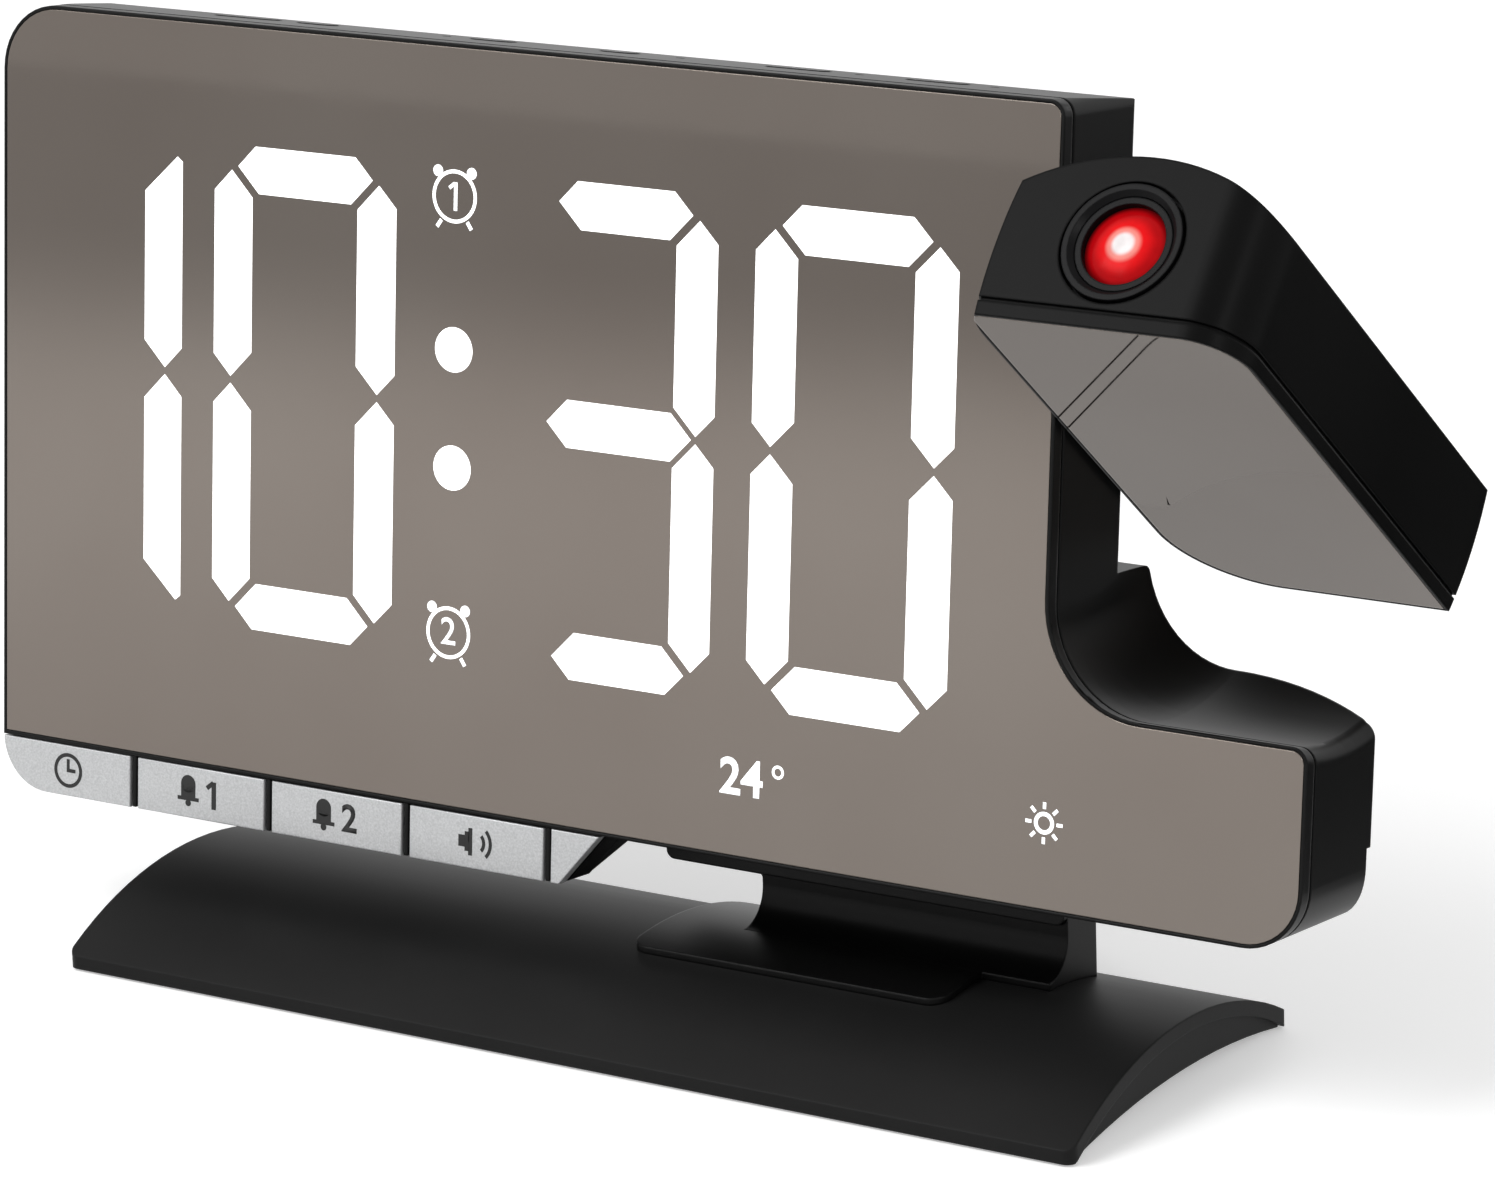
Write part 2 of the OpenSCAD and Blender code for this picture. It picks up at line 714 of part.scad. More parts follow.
// ======== clock: rear ========
module screw_post(k) {
  depth = case_screws[k][2];
  rod_y(case_screws[k][0], case_screws[k][1], boss_r, boss_end + seat, depth - wall / 2);
}
module screw_hole(k) {
  x = case_screws[k][0];
  z = case_screws[k][1];
  depth = case_screws[k][2];
  rod_y(x, z, screw_r + 0.2, boss_end - past, depth);
  rod_y(x, z, screw_head_r + 0.2, head_seat(k), depth + 8);
}
function head_seat(k) = case_screws[k][2] - screw_head_t - 1;
module grille() {
  for (i = [-3:3]) for (j = [-3:3])
    if ((i + j % 2 / 2) * (i + j % 2 / 2) + j * j * 0.75 < 11)
      rod_y(speaker_x + (i + (j % 2) / 2) * grille_pitch, speaker_z + j * grille_pitch * 0.866,
            grille_hole_r, back_in - past, rear_d + past);
}
module bearing_boss() {
  rod_x(pivot_y, pivot_z, shaft_r + 2.6, bearing_x, xp - wall / 2);
}
module tongue_2d(gap) {
  translate([block_x0 + (block_w - tongue_w) / 2 - gap, block_y0 + 1 - gap])
    square([tongue_w + 2 * gap, tongue_d + 2 * gap]);
}
module rear_shell() {
  in_clock() color([0.05, 0.05, 0.06]) difference() {
    union() {
      difference() {
        form(0);
        form(wall);
      }
      for (k = [0:len(case_screws) - 1]) screw_post(k);
      bearing_boss();
      // ring that holds the speaker
      difference() {
        rod_y(speaker_x, speaker_z, speaker_r + 1.4, back_in - 3, back_in + 0.5);
        rod_y(speaker_x, speaker_z, speaker_r + seat, back_in - 4, back_in);
      }
      // socket for the neck's tongue
      block([block_x0 + (block_w - tongue_w) / 2 - 2, block_y0 - 1, -rim / 2],
            [block_x0 + (block_w + tongue_w) / 2 + 2, back_in + 0.5, tongue_h + 1.6]);
    }
    // front frame's half of the form
    block([xl - past, -past, -strip_h - past], [xr + past, frame_d, face_h + past]);
    for (k = [0:len(case_screws) - 1]) screw_hole(k);
    grille();
    rod_x(pivot_y, pivot_z, shaft_r + shaft_clear, bearing_x - past, xp + past);
    for (k = [0:len(top_keys) - 1])
      on_top() plate(face_h - wall - past, face_h + past)
        pill(top_key_x(k), top_key_y, top_keys[k][1], top_key_d);
    // battery opening, with the step that carries its door
    slab(back_in - past, rear_d - door_t) rounded(cell_x - door_w / 2 + 1.5, cell_z - door_w / 2 + 1.5,
      cell_x + door_w / 2 - 1.5, cell_z + door_w / 2 - 1.5, 2);
    slab(rear_d - door_t, rear_d + past) door_2d(seat);
    // sockets
    slab(back_in - 4, rear_d + past) rounded(usb_x - usb_w / 2 - 0.3, port_z - 0.3,
      usb_x + usb_w / 2 + 0.3, port_z + usb_h + 0.3, 0.5);
    rod_y(dc_x, port_z + dc_h / 2, 3, back_in - past, rear_d + past);
    plate(-rim - past, tongue_h + 0.2) tongue_2d(seat);
    for (x = neck_screw_x) {
      rod_y(x, neck_screw_z, screw_r + 0.2, block_y0, rear_d + past);
      rod_y(x, neck_screw_z, screw_head_r + 0.2, rear_d - screw_head_t - 0.4, rear_d + past);
    }
  }
}
module case_screws() {
  in_clock() color("gray") for (k = [0:len(case_screws) - 1]) {
    x = case_screws[k][0];
    z = case_screws[k][1];
    rod_y(x, z, screw_r - 0.05, mirror_t + 1.4, head_seat(k) + 0.2);
    rod_y(x, z, screw_head_r, head_seat(k), head_seat(k) + screw_head_t);
  }
}
module speaker() {
  in_clock() color([0.15, 0.15, 0.16]) {
    difference() {
      rod_y(speaker_x, speaker_z, speaker_r, back_in - 2.2, back_in);
      rod_y(speaker_x, speaker_z, speaker_r - 1.5, back_in - 1.2, back_in + past);
    }
    rod_y(speaker_x, speaker_z, speaker_r * 0.55, back_in - speaker_t, back_in - 2);
    translate([speaker_x, back_in - 1.4, speaker_z]) rotate([-90, 0, 0]) difference() {
      cylinder(r1 = 5, r2 = 10, h = 0.9);
      translate([0, 0, 0.3]) cylinder(r1 = 4.4, r2 = 10, h = 0.9);
    }
  }
}
module main_board() {
  in_clock() color("darkgreen")
    block([main_board_x0, board_back + 0.4, port_z - board_t - 0.2],
          [main_board_x1, back_in - 0.4, port_z - 0.2]);
}
module usb_port() {
  in_clock() color("lightgray") {
    difference() {
      block([usb_x - usb_w / 2, rear_d - 0.4 - usb_len, port_z - 0.2],
            [usb_x + usb_w / 2, rear_d - 0.4, port_z + usb_h]);
      block([usb_x - usb_w / 2 + 0.4, rear_d - usb_len, port_z + 0.2],
            [usb_x + usb_w / 2 - 0.4, rear_d + past, port_z + usb_h - 0.4]);
    }
    block([usb_x - 5.5, rear_d - usb_len, port_z + usb_h - 2.6],
          [usb_x + 5.5, rear_d - 2, port_z + usb_h - 0.9]);
  }
}
module dc_jack() {
  in_clock() color([0.1, 0.1, 0.1]) {
    difference() {
      block([dc_x - dc_w / 2, back_in - 9.8, port_z - 0.2], [dc_x + dc_w / 2, back_in, port_z + dc_h]);
      rod_y(dc_x, port_z + dc_h / 2, dc_hole_r, back_in - 8.6, back_in + past);
    }
    rod_y(dc_x, port_z + dc_h / 2, dc_pin_r, back_in - 9, back_in - 1.5);
  }
}
module door_2d(gap) {
  rounded(cell_x - door_w / 2 - gap, cell_z - door_w / 2 - gap,
          cell_x + door_w / 2 + gap, cell_z + door_w / 2 + gap, 3);
}
module battery_tray() {
  in_clock() color([0.1, 0.1, 0.1]) difference() {
    slab(tray_floor - tray_wall, back_in) rounded(cell_x - door_w / 2 + 0.2, cell_z - door_w / 2 + 0.2,
      cell_x + door_w / 2 - 0.2, cell_z + door_w / 2 - 0.2, 2.5);
    rod_y(cell_x, cell_z, cell_r + 0.3, tray_floor, back_in + past);
    rod_y(door_screw_x, door_screw_z, screw_r, tray_floor, back_in + past);
  }
}
module coin_cell() {
  in_clock() color("silver") {
    rod_y(cell_x, cell_z, cell_r - 1.2, cell_y0, cell_y0 + 0.8);
    rod_y(cell_x, cell_z, cell_r, cell_y0 + 0.5, cell_y1);
  }
}
module battery_contact() {
  in_clock() color("gold") {
    rod_y(cell_x, cell_z, 4, tray_floor, tray_floor + 0.3);
    rod_y(cell_x, cell_z, 1.2, tray_floor, cell_y0);
  }
}
module battery_door() {
  in_clock() color([0.06, 0.06, 0.07]) difference() {
    slab(rear_d - door_t, rear_d) door_2d(-seat);
    rod_y(door_screw_x, door_screw_z, screw_r + 0.15, rear_d - 3, rear_d + past);
    rod_y(door_screw_x, door_screw_z, screw_head_r + 0.1, rear_d - 0.8, rear_d + past);
  }
}
module door_screw() {
  in_clock() color("gray") {
    rod_y(door_screw_x, door_screw_z, screw_r - 0.05, tray_floor + 0.5, rear_d - 0.7);
    rod_y(door_screw_x, door_screw_z, screw_head_r, rear_d - 0.8, rear_d - 0.1);
  }
}
module top_board() {
  in_clock() on_top() color("darkgreen")
    block([top_key_x(0) - top_board_over, board_back + 0.8, top_board_z],
          [top_key_x(len(top_keys) - 1) + top_board_over, panel_d - wall, top_board_z + board_t]);
}
module top_switches() {
  in_clock() on_top() color("dimgray") for (k = [0:len(top_keys) - 1]) difference() {
    block([top_key_x(k) - switch_w / 2, top_key_y - 1.6, top_board_z + board_t],
          [top_key_x(k) + switch_w / 2, top_key_y + 1.6, top_board_z + board_t + top_switch_h]);
    translate([top_key_x(k), top_key_y, top_board_z + board_t + 0.3])
      cylinder(r = plunger_r + plunger_clear, h = 5);
  }
}
module wave_washer() {
  in_clock() color("lightgray") difference() {
    rod_x(pivot_y, pivot_z, shaft_r + 1.3, bearing_x - washer_t, bearing_x);
    rod_x(pivot_y, pivot_z, shaft_r + 0.3, bearing_x - past, bearing_x + past);
  }
}

// ======== stand ========
module base_plan(i) {
  rounded(base_x0 + i, base_y0 + i, base_x1 - i, base_y1 - i, max(0.4, base_corner_r - i));
}
// arched slice in Y and Z under the crown, drawn in by i
module under_crown(i) {
  translate([base_mid, base_h - crown_r]) circle(crown_r - i, $fn = 180);
}
module under_arch(i) {
  translate([base_mid, pad_out + arch_h - arch_r]) circle(arch_r + i, $fn = 180);
}
module base_profile() {
  intersection() {
    difference() {
      under_crown(0);
      under_arch(0);
    }
    translate([base_y0 - past, pad_out]) square([base_d + 2 * past, base_h]);
  }
}
module pad_places() {
  for (sx = [-1, 1]) for (y = [base_y0 + 1.2, base_y1 - 1.2 - pad_w])
    translate([base_shift + sx * (base_w / 2 - 22) - pad_len / 2, y]) children();
}
module at_base_screws(z) {
  for (x = base_screw_x) translate([x, base_screw_y, z]) children();
}
module base_shell() {
  in_world() color([0.05, 0.05, 0.06]) difference() {
    union() {
      difference() {
        intersection() {
          bar(base_x0 - past, base_x1 + past) base_profile();
          plate(-past, base_h + past) base_plan(0);
        }
        // both ends stand back under a lip
        difference() {
          bar(base_x0 - past, base_x1 + past) under_crown(lip_t);
          plate(-2 * crown_r, base_h + past) base_plan(lip_in);
        }
        // hollow, open downwards
        intersection() {
          bar(base_x0, base_x1) difference() {
            under_crown(base_wall);
            translate([base_y0, -crown_r]) square([base_edge_w, 2 * crown_r]);
            translate([base_y1 - base_edge_w, -crown_r]) square([base_edge_w, 2 * crown_r]);
          }
          plate(-past, base_h) base_plan(base_wall);
        }
      }
      // posts that the screws pass through
      intersection() {
        at_base_screws(base_screw_z + base_boss_h + seat) cylinder(r = base_post_r, h = base_h);
        bar(base_x0, base_x1) under_crown(base_wall / 2);
      }
    }
    at_base_screws(0) cylinder(r = screw_r + 0.2, h = base_h + past);
    plate(0, pad_out + pad_in) pad_places() square([pad_len, pad_w]);
  }
}
module base_cover() {
  in_world() color([0.04, 0.04, 0.05]) difference() {
    union() {
      intersection() {
        bar(base_x0, base_x1) intersection() {
          difference() {
            under_arch(cover_t);
            under_arch(0);
          }
          translate([base_y0 + base_edge_w + seat, -past])
            square([base_d - 2 * base_edge_w - 2 * seat, base_h]);
        }
        plate(-past, base_h) base_plan(base_wall + seat);
      }
      at_base_screws(base_screw_z + 0.5) cylinder(r = base_post_r, h = base_boss_h - 0.5);
    }
    at_base_screws(0) cylinder(r = screw_r + 0.2, h = base_h);
    at_base_screws(0) cylinder(r = screw_head_r + 0.2, h = base_screw_z + screw_head_t + 0.2);
  }
}
module base_weight() {
  in_world() color("dimgray") bar(base_x0 + 14, base_x1 - 14) intersection() {
    difference() {
      under_arch(cover_t + weight_t);
      under_arch(cover_t);
    }
    translate([weight_y0, 0]) square([weight_y1 - weight_y0, base_h]);
  }
}
module base_screws() {
  in_world() color("gray") {
    at_base_screws(base_screw_z + screw_head_t + 0.1) cylinder(r = screw_r - 0.05, h = 9);
    at_base_screws(base_screw_z + 0.2) cylinder(r = screw_head_r, h = screw_head_t);
  }
}
module rubber_pads() {
  in_world() color([0.02, 0.02, 0.02]) plate(0, pad_out + pad_in) pad_places() square([pad_len, pad_w]);
}
// column of the neck in Y and Z: upright, swept forward at its lower end
module neck_profile() {
  y0 = neck_front - neck_sweep_r;
  difference() {
    translate([y0, base_h - 3]) square([neck_back - y0, clock_z - base_h + 3]);
    translate([y0, base_h + foot_t + neck_sweep_r]) circle(neck_sweep_r, $fn = 96);
    translate([y0 - past, base_h + foot_t + neck_sweep_r]) square([neck_sweep_r + past, clock_z]);
  }
}
module neck() {
  color([0.04, 0.04, 0.05]) difference() {
    union() {
      // foot plate, following the crown of the base
      in_world() intersection() {
        bar(foot_x0, foot_x0 + foot_w) difference() {
          under_crown(-foot_t);
          under_crown(0);
        }
        plate(0, base_h + 2) rounded(foot_x0, foot_y0, foot_x0 + foot_w, foot_y1, foot_r);
      }
      intersection() {
        in_world() bar(neck_x0, neck_x0 + neck_w) difference() {
          neck_profile();
          under_crown(0);
        }
        in_clock() block([xl, -20, -40], [xr, 60, -rim - block_drop / 2]);
      }
      in_clock() slab(block_y0, rear_d)
        rounded(block_x0, -rim - block_drop, block_x0 + block_w, -rim, block_r);
      // fillet between block and column
      in_clock() slab(block_y0 + 1.2, rear_d - 2)
        translate([neck_x0 - block_r, -rim - block_drop - block_r]) difference() {
          square([block_r + 0.3, block_r + 0.3]);
          circle(block_r);
        }
      in_clock() plate(-rim - 1, tongue_h) tongue_2d(-seat);
    }
    in_world() at_base_screws(base_h - 4) cylinder(r = screw_r, h = 9);
    in_clock() for (x = neck_screw_x) rod_y(x, neck_screw_z, screw_r, block_y0, rear_d + past);
  }
}
module neck_screws() {
  in_clock() color("gray") for (x = neck_screw_x) {
    rod_y(x, neck_screw_z, screw_r - 0.05, block_y0 + 1.5, rear_d - screw_head_t);
    rod_y(x, neck_screw_z, screw_head_r, rear_d - screw_head_t - 0.3, rear_d - 0.3);
  }
}

// ======== projector head ========
// outer form of the head in its closed place, drawn in by i
module head_form(i) {
  intersection() {
    slab(0, head_d)
      difference() {
        translate([head_x0 + i, pivot_z - sweep_r])
          square([xr - head_x0 - 2 * i, head_z1 - i - pivot_z + sweep_r]);
        corner(xr - i, head_z1 - i, 1, 1, head_corner_r - i);
      }
    plate(pivot_z - sweep_r, head_z1)
      intersection() {
        translate([head_x0, 0]) square([xr - head_x0, head_d]);
        translate([head_mid_x, head_d - head_arc_r]) circle(head_arc_r - i, $fn = 128);
      }
    // never outside the space that it turns in
    head_space(-head_gap - i);
  }
}
module head_half_space(y0, y1) { block([xp - past, y0, 0], [xr + past, y1, head_z1 + past]); }
module head_mirror_solid(y0, y1, gap) {
  intersection() {
    slab(y0, y1) translate([xp, 0]) square([foot_out, head_z1]);
    translate([0, y0, 0]) head_front(rim + gap, y1 - y0);
  }
}
// the head's front outline, drawn in by i, thick from 0 to t
module head_front(i, t) {
  slab(0, t)
    difference() {
      translate([head_x0 + i, head_z0 + i]) square([xr - head_x0 - 2 * i, head_z1 - head_z0 - 2 * i]);
      corner(xr - i, head_z1 - i, 1, 1, head_corner_r - i);
      corner(head_x0 + i, head_z0 + i, -1, -1, fillet_r - i);
      corner(head_x0 + i, head_z1 - i, -1, 1, head_small_r);
    }
}
module head_shell() {
  in_head() color([0.06, 0.06, 0.07]) difference() {
    union() {
      difference() {
        head_form(0);
        head_form(head_wall);
      }
      for (p = head_screws_at)
        rod_y(p[0], p[1], head_post_r, head_frame_d + 5, head_depth(p[0]) - head_wall / 2);
      // flange that carries the swivel shaft
      rod_x(pivot_y, pivot_z, shaft_r + 2.6, head_x0 + 0.5, shaft_flange_x);
    }
    block([xp - past, -past, 0], [xr + past, head_frame_d, head_z1 + past]);
    rod_x(pivot_y, pivot_z, shaft_r, xp - past, shaft_flange_x + past);
    translate([lens_x, lens_y, head_z1 - 5]) cylinder(r = ring_hole_r, h = 10);
    for (p = head_screws_at) {
      rod_y(p[0], p[1], screw_r + 0.15, head_frame_d, 30);
      rod_y(p[0], p[1], screw_head_r + 0.1, head_depth(p[0]) - 2.2, 30);
    }
  }
}
module head_bezel() {
  in_head() color([0.07, 0.07, 0.08]) difference() {
    union() {
      intersection() {
        head_form(0);
        head_half_space(0, head_frame_d);
      }
      for (p = head_screws_at)
        rod_y(p[0], p[1], head_post_r, mirror_t + 0.3, head_frame_d + 5 - seat);
    }
    // shadow groove along the seam
    difference() {
      head_half_space(head_frame_d - seam_w, head_frame_d + 0.2);
      head_form(seam_in);
      for (p = head_screws_at) rod_y(p[0], p[1], head_post_r + past, 0, head_frame_d + past);
    }
    head_mirror_solid(-past, mirror_t, 0);
    for (p = head_screws_at) rod_y(p[0], p[1], screw_r, mirror_t + 1, 20);
    // room for the focus ring's collar
    translate([lens_x, lens_y, ring_z0 - 0.3]) cylinder(r = collar_r + 0.3, h = collar_z1 - ring_z0 + 0.6);
    // window behind the mirror that saves weight
    slab(0, 10) rounded(head_x0 + 8, pivot_z - 10.3, xr - 6, pivot_z + 21.7, 3);
  }
}
module head_mirror() {
  in_head() color([0.45, 0.42, 0.39]) head_mirror_solid(0, mirror_t, seat);
}
module pivot_shaft() {
  in_head() color([0.1, 0.1, 0.1]) difference() {
    union() {
      rod_x(pivot_y, pivot_z, shaft_r, shaft_x0, shaft_flange_x);
      rod_x(pivot_y, pivot_z, shaft_r + 1.6, shaft_flange_x, shaft_flange_x + 1.2);
    }
    rod_x(pivot_y, pivot_z, shaft_r - 1.3, shaft_x0 - past, shaft_flange_x + 2);
    // groove for the snap ring
    difference() {
      rod_x(pivot_y, pivot_z, shaft_r + past, ring_x0 - 0.05, ring_x0 + snap_t + 0.05);
      rod_x(pivot_y, pivot_z, shaft_r - groove_d, ring_x0 - past, ring_x0 + 2);
    }
  }
}
module snap_ring() {
  in_head() color("gray") difference() {
    rod_x(pivot_y, pivot_z, shaft_r + 1.1, ring_x0, ring_x0 + snap_t);
    rod_x(pivot_y, pivot_z, shaft_r - groove_d, ring_x0 - past, ring_x0 + 2);
    // opening of the ring
    block([ring_x0 - past, pivot_y - 1.5, pivot_z], [ring_x0 + 2, pivot_y + 1.5, pivot_z + 10]);
  }
}
// everything of the projector is round about the lens axis: r and z
module turned() { translate([lens_x, lens_y, 0]) rotate_extrude($fn = 96) children(); }
module focus_ring() {
  in_head() color([0.08, 0.08, 0.09]) turned() difference() {
    union() {
      translate([barrel_bore_r, ring_z0]) square([ring_r - barrel_bore_r, ring_z1 - ring_z0]);
      // collar that keeps the ring under the head's top wall
      translate([barrel_bore_r, ring_z0]) square([collar_r - barrel_bore_r, collar_z1 - ring_z0]);
    }
    // bevel towards the lens
    polygon([[barrel_bore_r - 0.1, ring_z1 + 0.1], [barrel_bore_r + 0.7, ring_z1 + 0.1],
             [barrel_bore_r - 0.1, ring_z1 - 0.7]]);
  }
}
module lens_barrel() {
  in_head() color([0.1, 0.1, 0.11]) turned() {
    translate([lens_r, barrel_z0]) square([barrel_r - lens_r, barrel_z1 - barrel_z0]);
    translate([lens_r - 0.7, head_z1 - 5.6]) square([1.2, 1.4]);
  }
}
module projection_lens() {
  in_head() color([0.8, 0.05, 0.05]) turned() intersection() {
    translate([0, head_z1 - 4.2]) square([lens_r, 4.4]);
    translate([0, head_z1 - 0.2 - 11]) circle(11);
  }
}
module projector_tube() {
  in_head() color([0.12, 0.12, 0.13]) {
    turned() {
      translate([barrel_bore_r, tube_z1 - tube_len - 2]) square([tube_wall, tube_len + 2]);
      translate([4, tube_z1 - tube_len]) square([barrel_bore_r - 4 + 0.1, 1]);
      translate([barrel_bore_r, tube_z1 - 1]) square([1.7, 1]);
    }
    // rib that seats the tube against the back of the head
    block([lens_x - 1, lens_y + barrel_bore_r + tube_wall / 2, tube_z1 - tube_len],
          [lens_x + 1, head_depth(lens_x) - head_wall - 0.2, tube_z1]);
  }
}
module condenser() {
  in_head() color([0.9, 0.9, 0.95, 0.6]) turned()
    translate([0, tube_z1 - tube_len + 1]) square([barrel_bore_r, 2]);
}
module lcd_slide() {
  in_head() color([0.2, 0.25, 0.2])
    block([lens_x - 4, lens_y - 4, tube_z1 - tube_len + 3],
          [lens_x + 4, lens_y + 4, tube_z1 - tube_len + 4.1]);
}
module led_board() {
  in_head() color("darkgreen") plate(tube_z1 - tube_len - 3, tube_z1 - tube_len - 2)
    translate([lens_x - 8, lens_y - 6]) square([16, 13]);
}
module projector_led() {
  in_head() color([0.9, 0.1, 0.1]) translate([lens_x, lens_y, tube_z1 - tube_len - 2]) {
    cylinder(r = 2.8, h = 1);
    cylinder(r = 2.4, h = 2);
  }
}
module head_screws() {
  in_head() color("gray") for (p = head_screws_at) {
    rod_y(p[0], p[1], screw_r - 0.05, mirror_t + 1.2, head_depth(p[0]) - 2);
    rod_y(p[0], p[1], screw_head_r, head_depth(p[0]) - 2.2, head_depth(p[0]) - 2.2 + screw_head_t);
  }
}

front_frame();
rear_shell();
mirror_panel();
digit_windows();
light_box();
display_board();
display_leds();
strip_end();
key_board();
key_switches();
front_key(0);  // front_key_1
front_key(1);  // front_key_2
front_key(2);  // front_key_3
front_key(3);  // front_key_4
top_board();
top_switches();
top_key(0);  // snooze_bar
top_key(1);  // top_key_1
top_key(2);  // top_key_2
top_key(3);  // top_key_3
top_key(4);  // top_key_4
top_key(5);  // top_key_5
speaker();
main_board();
usb_port();
dc_jack();
battery_tray();
coin_cell();
battery_contact();
battery_door();
door_screw();
case_screws();
neck();
neck_screws();
base_shell();
base_cover();
base_weight();
base_screws();
rubber_pads();
wave_washer();
head_shell();
head_bezel();
head_mirror();
pivot_shaft();
snap_ring();
projector_tube();
led_board();
projector_led();
condenser();
lcd_slide();
head_screws();
focus_ring();
lens_barrel();
projection_lens();
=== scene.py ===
# %% [markdown]
# # A projection alarm clock, dressed for the camera
#
# The solids of the clock come packed from the CAD model, each one in its place and riding on the
# body that carries it. This lesson gives them their finishes and adds what is too fine for the
# solids: printed marks, lit symbols, screw drives and soft edges. Lengths are in metres, +Z is
# up, and the clock's mirror faces -Y.

# %% Load the frame
import math

import bmesh
import bpy
from mathutils import Matrix, Vector
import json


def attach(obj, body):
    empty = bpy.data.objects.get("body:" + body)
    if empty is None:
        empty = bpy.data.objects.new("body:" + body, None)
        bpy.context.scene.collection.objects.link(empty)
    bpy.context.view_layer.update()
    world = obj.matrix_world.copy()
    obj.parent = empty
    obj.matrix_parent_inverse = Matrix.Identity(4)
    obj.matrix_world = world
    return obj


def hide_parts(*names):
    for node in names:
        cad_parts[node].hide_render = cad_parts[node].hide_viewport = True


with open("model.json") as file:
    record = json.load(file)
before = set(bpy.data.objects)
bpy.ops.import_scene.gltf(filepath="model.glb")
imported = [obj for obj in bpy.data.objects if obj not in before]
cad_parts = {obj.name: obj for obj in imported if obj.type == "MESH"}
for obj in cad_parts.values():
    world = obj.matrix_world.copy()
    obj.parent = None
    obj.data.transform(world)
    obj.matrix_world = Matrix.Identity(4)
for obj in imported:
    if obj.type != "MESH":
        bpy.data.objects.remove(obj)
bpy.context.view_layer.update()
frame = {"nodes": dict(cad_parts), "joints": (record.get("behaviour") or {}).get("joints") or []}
MM = 0.001

# %% [markdown]
# ## Two frames of reference
#
# The clock leans back on its foot, and the projector head is tilted forward about its swivel
# axis. It is far easier to draw in the clock's own upright frame, so one matrix brings a drawing
# from there to the world, and a second one does the same for the head. Both are worked out from
# the joints that the frame holds, so they follow the CAD model.

# %% Matrices for the clock and the head
joints = {j["name"]: j for j in frame["joints"]}
key_push = Vector(joints["front_key_1_press"]["axis"])
lean = math.atan2(-key_push.z, key_push.y)
lens_axis = Vector(joints["focus_turn"]["axis"])
head_turn = math.atan2(-lens_axis.y, lens_axis.z)
pivot = Vector(joints["head_swivel"]["pos_m"])
lens_point = Vector(joints["focus_turn"]["pos_m"])

LEFT = -95 * MM
PIVOT_Y = 8 * MM
PIVOT_Z = 62.3 * MM
turn_clock = Matrix.Rotation(-lean, 4, "X")
clock_to_world = (
    Matrix.Translation(pivot) @ turn_clock @ Matrix.Translation((-pivot.x, -PIVOT_Y, -PIVOT_Z))
)
lens_to_world = Matrix.Translation(lens_point) @ Matrix.Rotation(head_turn, 4, "X")
print("lean %.1f deg, head %.1f deg" % (math.degrees(lean), math.degrees(head_turn)))

# %% [markdown]
# ## The camera first
#
# A long lens from the front right, a little above the clock. The camera's turn is written as
# azimuth, elevation and roll, which are easy to check against the object's own edges.

# %% Camera
CAMERA_AZIMUTH = math.radians(33.176)
CAMERA_ELEVATION = math.radians(16.127)
CAMERA_ROLL = math.radians(-1.947)
CAMERA_DISTANCE = 736.22 * MM
CAMERA_TARGET = Vector((17.57, -10.92, 55.97)) * MM
CAMERA_LENS = 147.63


def camera_axes(azimuth, elevation, roll):
    """Right, up and back of a camera that looks at the target."""
    back = Vector(
        (
            math.sin(azimuth) * math.cos(elevation),
            -math.cos(azimuth) * math.cos(elevation),
            math.sin(elevation),
        )
    )
    level = Vector((math.cos(azimuth), math.sin(azimuth), 0))
    upright = back.cross(level)
    right = math.cos(roll) * level + math.sin(roll) * upright
    up = math.cos(roll) * upright - math.sin(roll) * level
    return right, up, back


def add_camera():
    right, up, back = camera_axes(CAMERA_AZIMUTH, CAMERA_ELEVATION, CAMERA_ROLL)
    data = bpy.data.cameras.new("camera")
    data.lens = CAMERA_LENS
    data.sensor_width = 36
    data.sensor_fit = "HORIZONTAL"
    data.clip_start = 0.01
    camera = bpy.data.objects.new("camera", data)
    bpy.context.scene.collection.objects.link(camera)
    turn = Matrix((right, up, back)).transposed().to_4x4()
    camera.matrix_world = Matrix.Translation(CAMERA_TARGET + back * CAMERA_DISTANCE) @ turn
    bpy.context.scene.camera = camera
    return camera


camera = add_camera()
bpy.context.scene.view_settings.view_transform = "Standard"
print("camera at", [round(v, 3) for v in camera.matrix_world.translation])

# %% [markdown]
# ## Helpers for materials
#
# Colours are written as sRGB hex values, the way a designer picks them, and one function turns
# them into the linear values that the renderer works with. One more function adds a node, sets
# its values and links its inputs, which keeps each material down to the lines that matter.

# %% Colour and node helpers
def hex_colour(code):
    """sRGB hex to linear RGBA."""

    def linear(value):
        value /= 255
        return value / 12.92 if value <= 0.04045 else ((value + 0.055) / 1.055) ** 2.4

    code = code.lstrip("#")
    return tuple(linear(int(code[i : i + 2], 16)) for i in (0, 2, 4)) + (1.0,)


def add_node(tree, kind, values=None, links=None, **settings):
    """Adds a node. Settings are its attributes; values and links go to its inputs."""
    node = tree.nodes.new(kind)
    for name, value in settings.items():
        setattr(node, name, value)
    for name, value in (values or {}).items():
        node.inputs[name].default_value = value
    for name, socket in (links or {}).items():
        tree.links.new(socket, node.inputs[name])
    return node


def new_material(name):
    """An empty material with its output and a Principled shader."""
    material = bpy.data.materials.new(name)
    material.use_nodes = True
    tree = material.node_tree
    tree.nodes.clear()
    shader = add_node(tree, "ShaderNodeBsdfPrincipled")
    add_node(tree, "ShaderNodeOutputMaterial", links={"Surface": shader.outputs["BSDF"]})
    return material, tree, shader


def set_inputs(shader, **values):
    """Sets constants on the shader's own sockets. Underscores stand for blanks."""
    for name, value in values.items():
        shader.inputs[name.replace("_", " ")].default_value = value


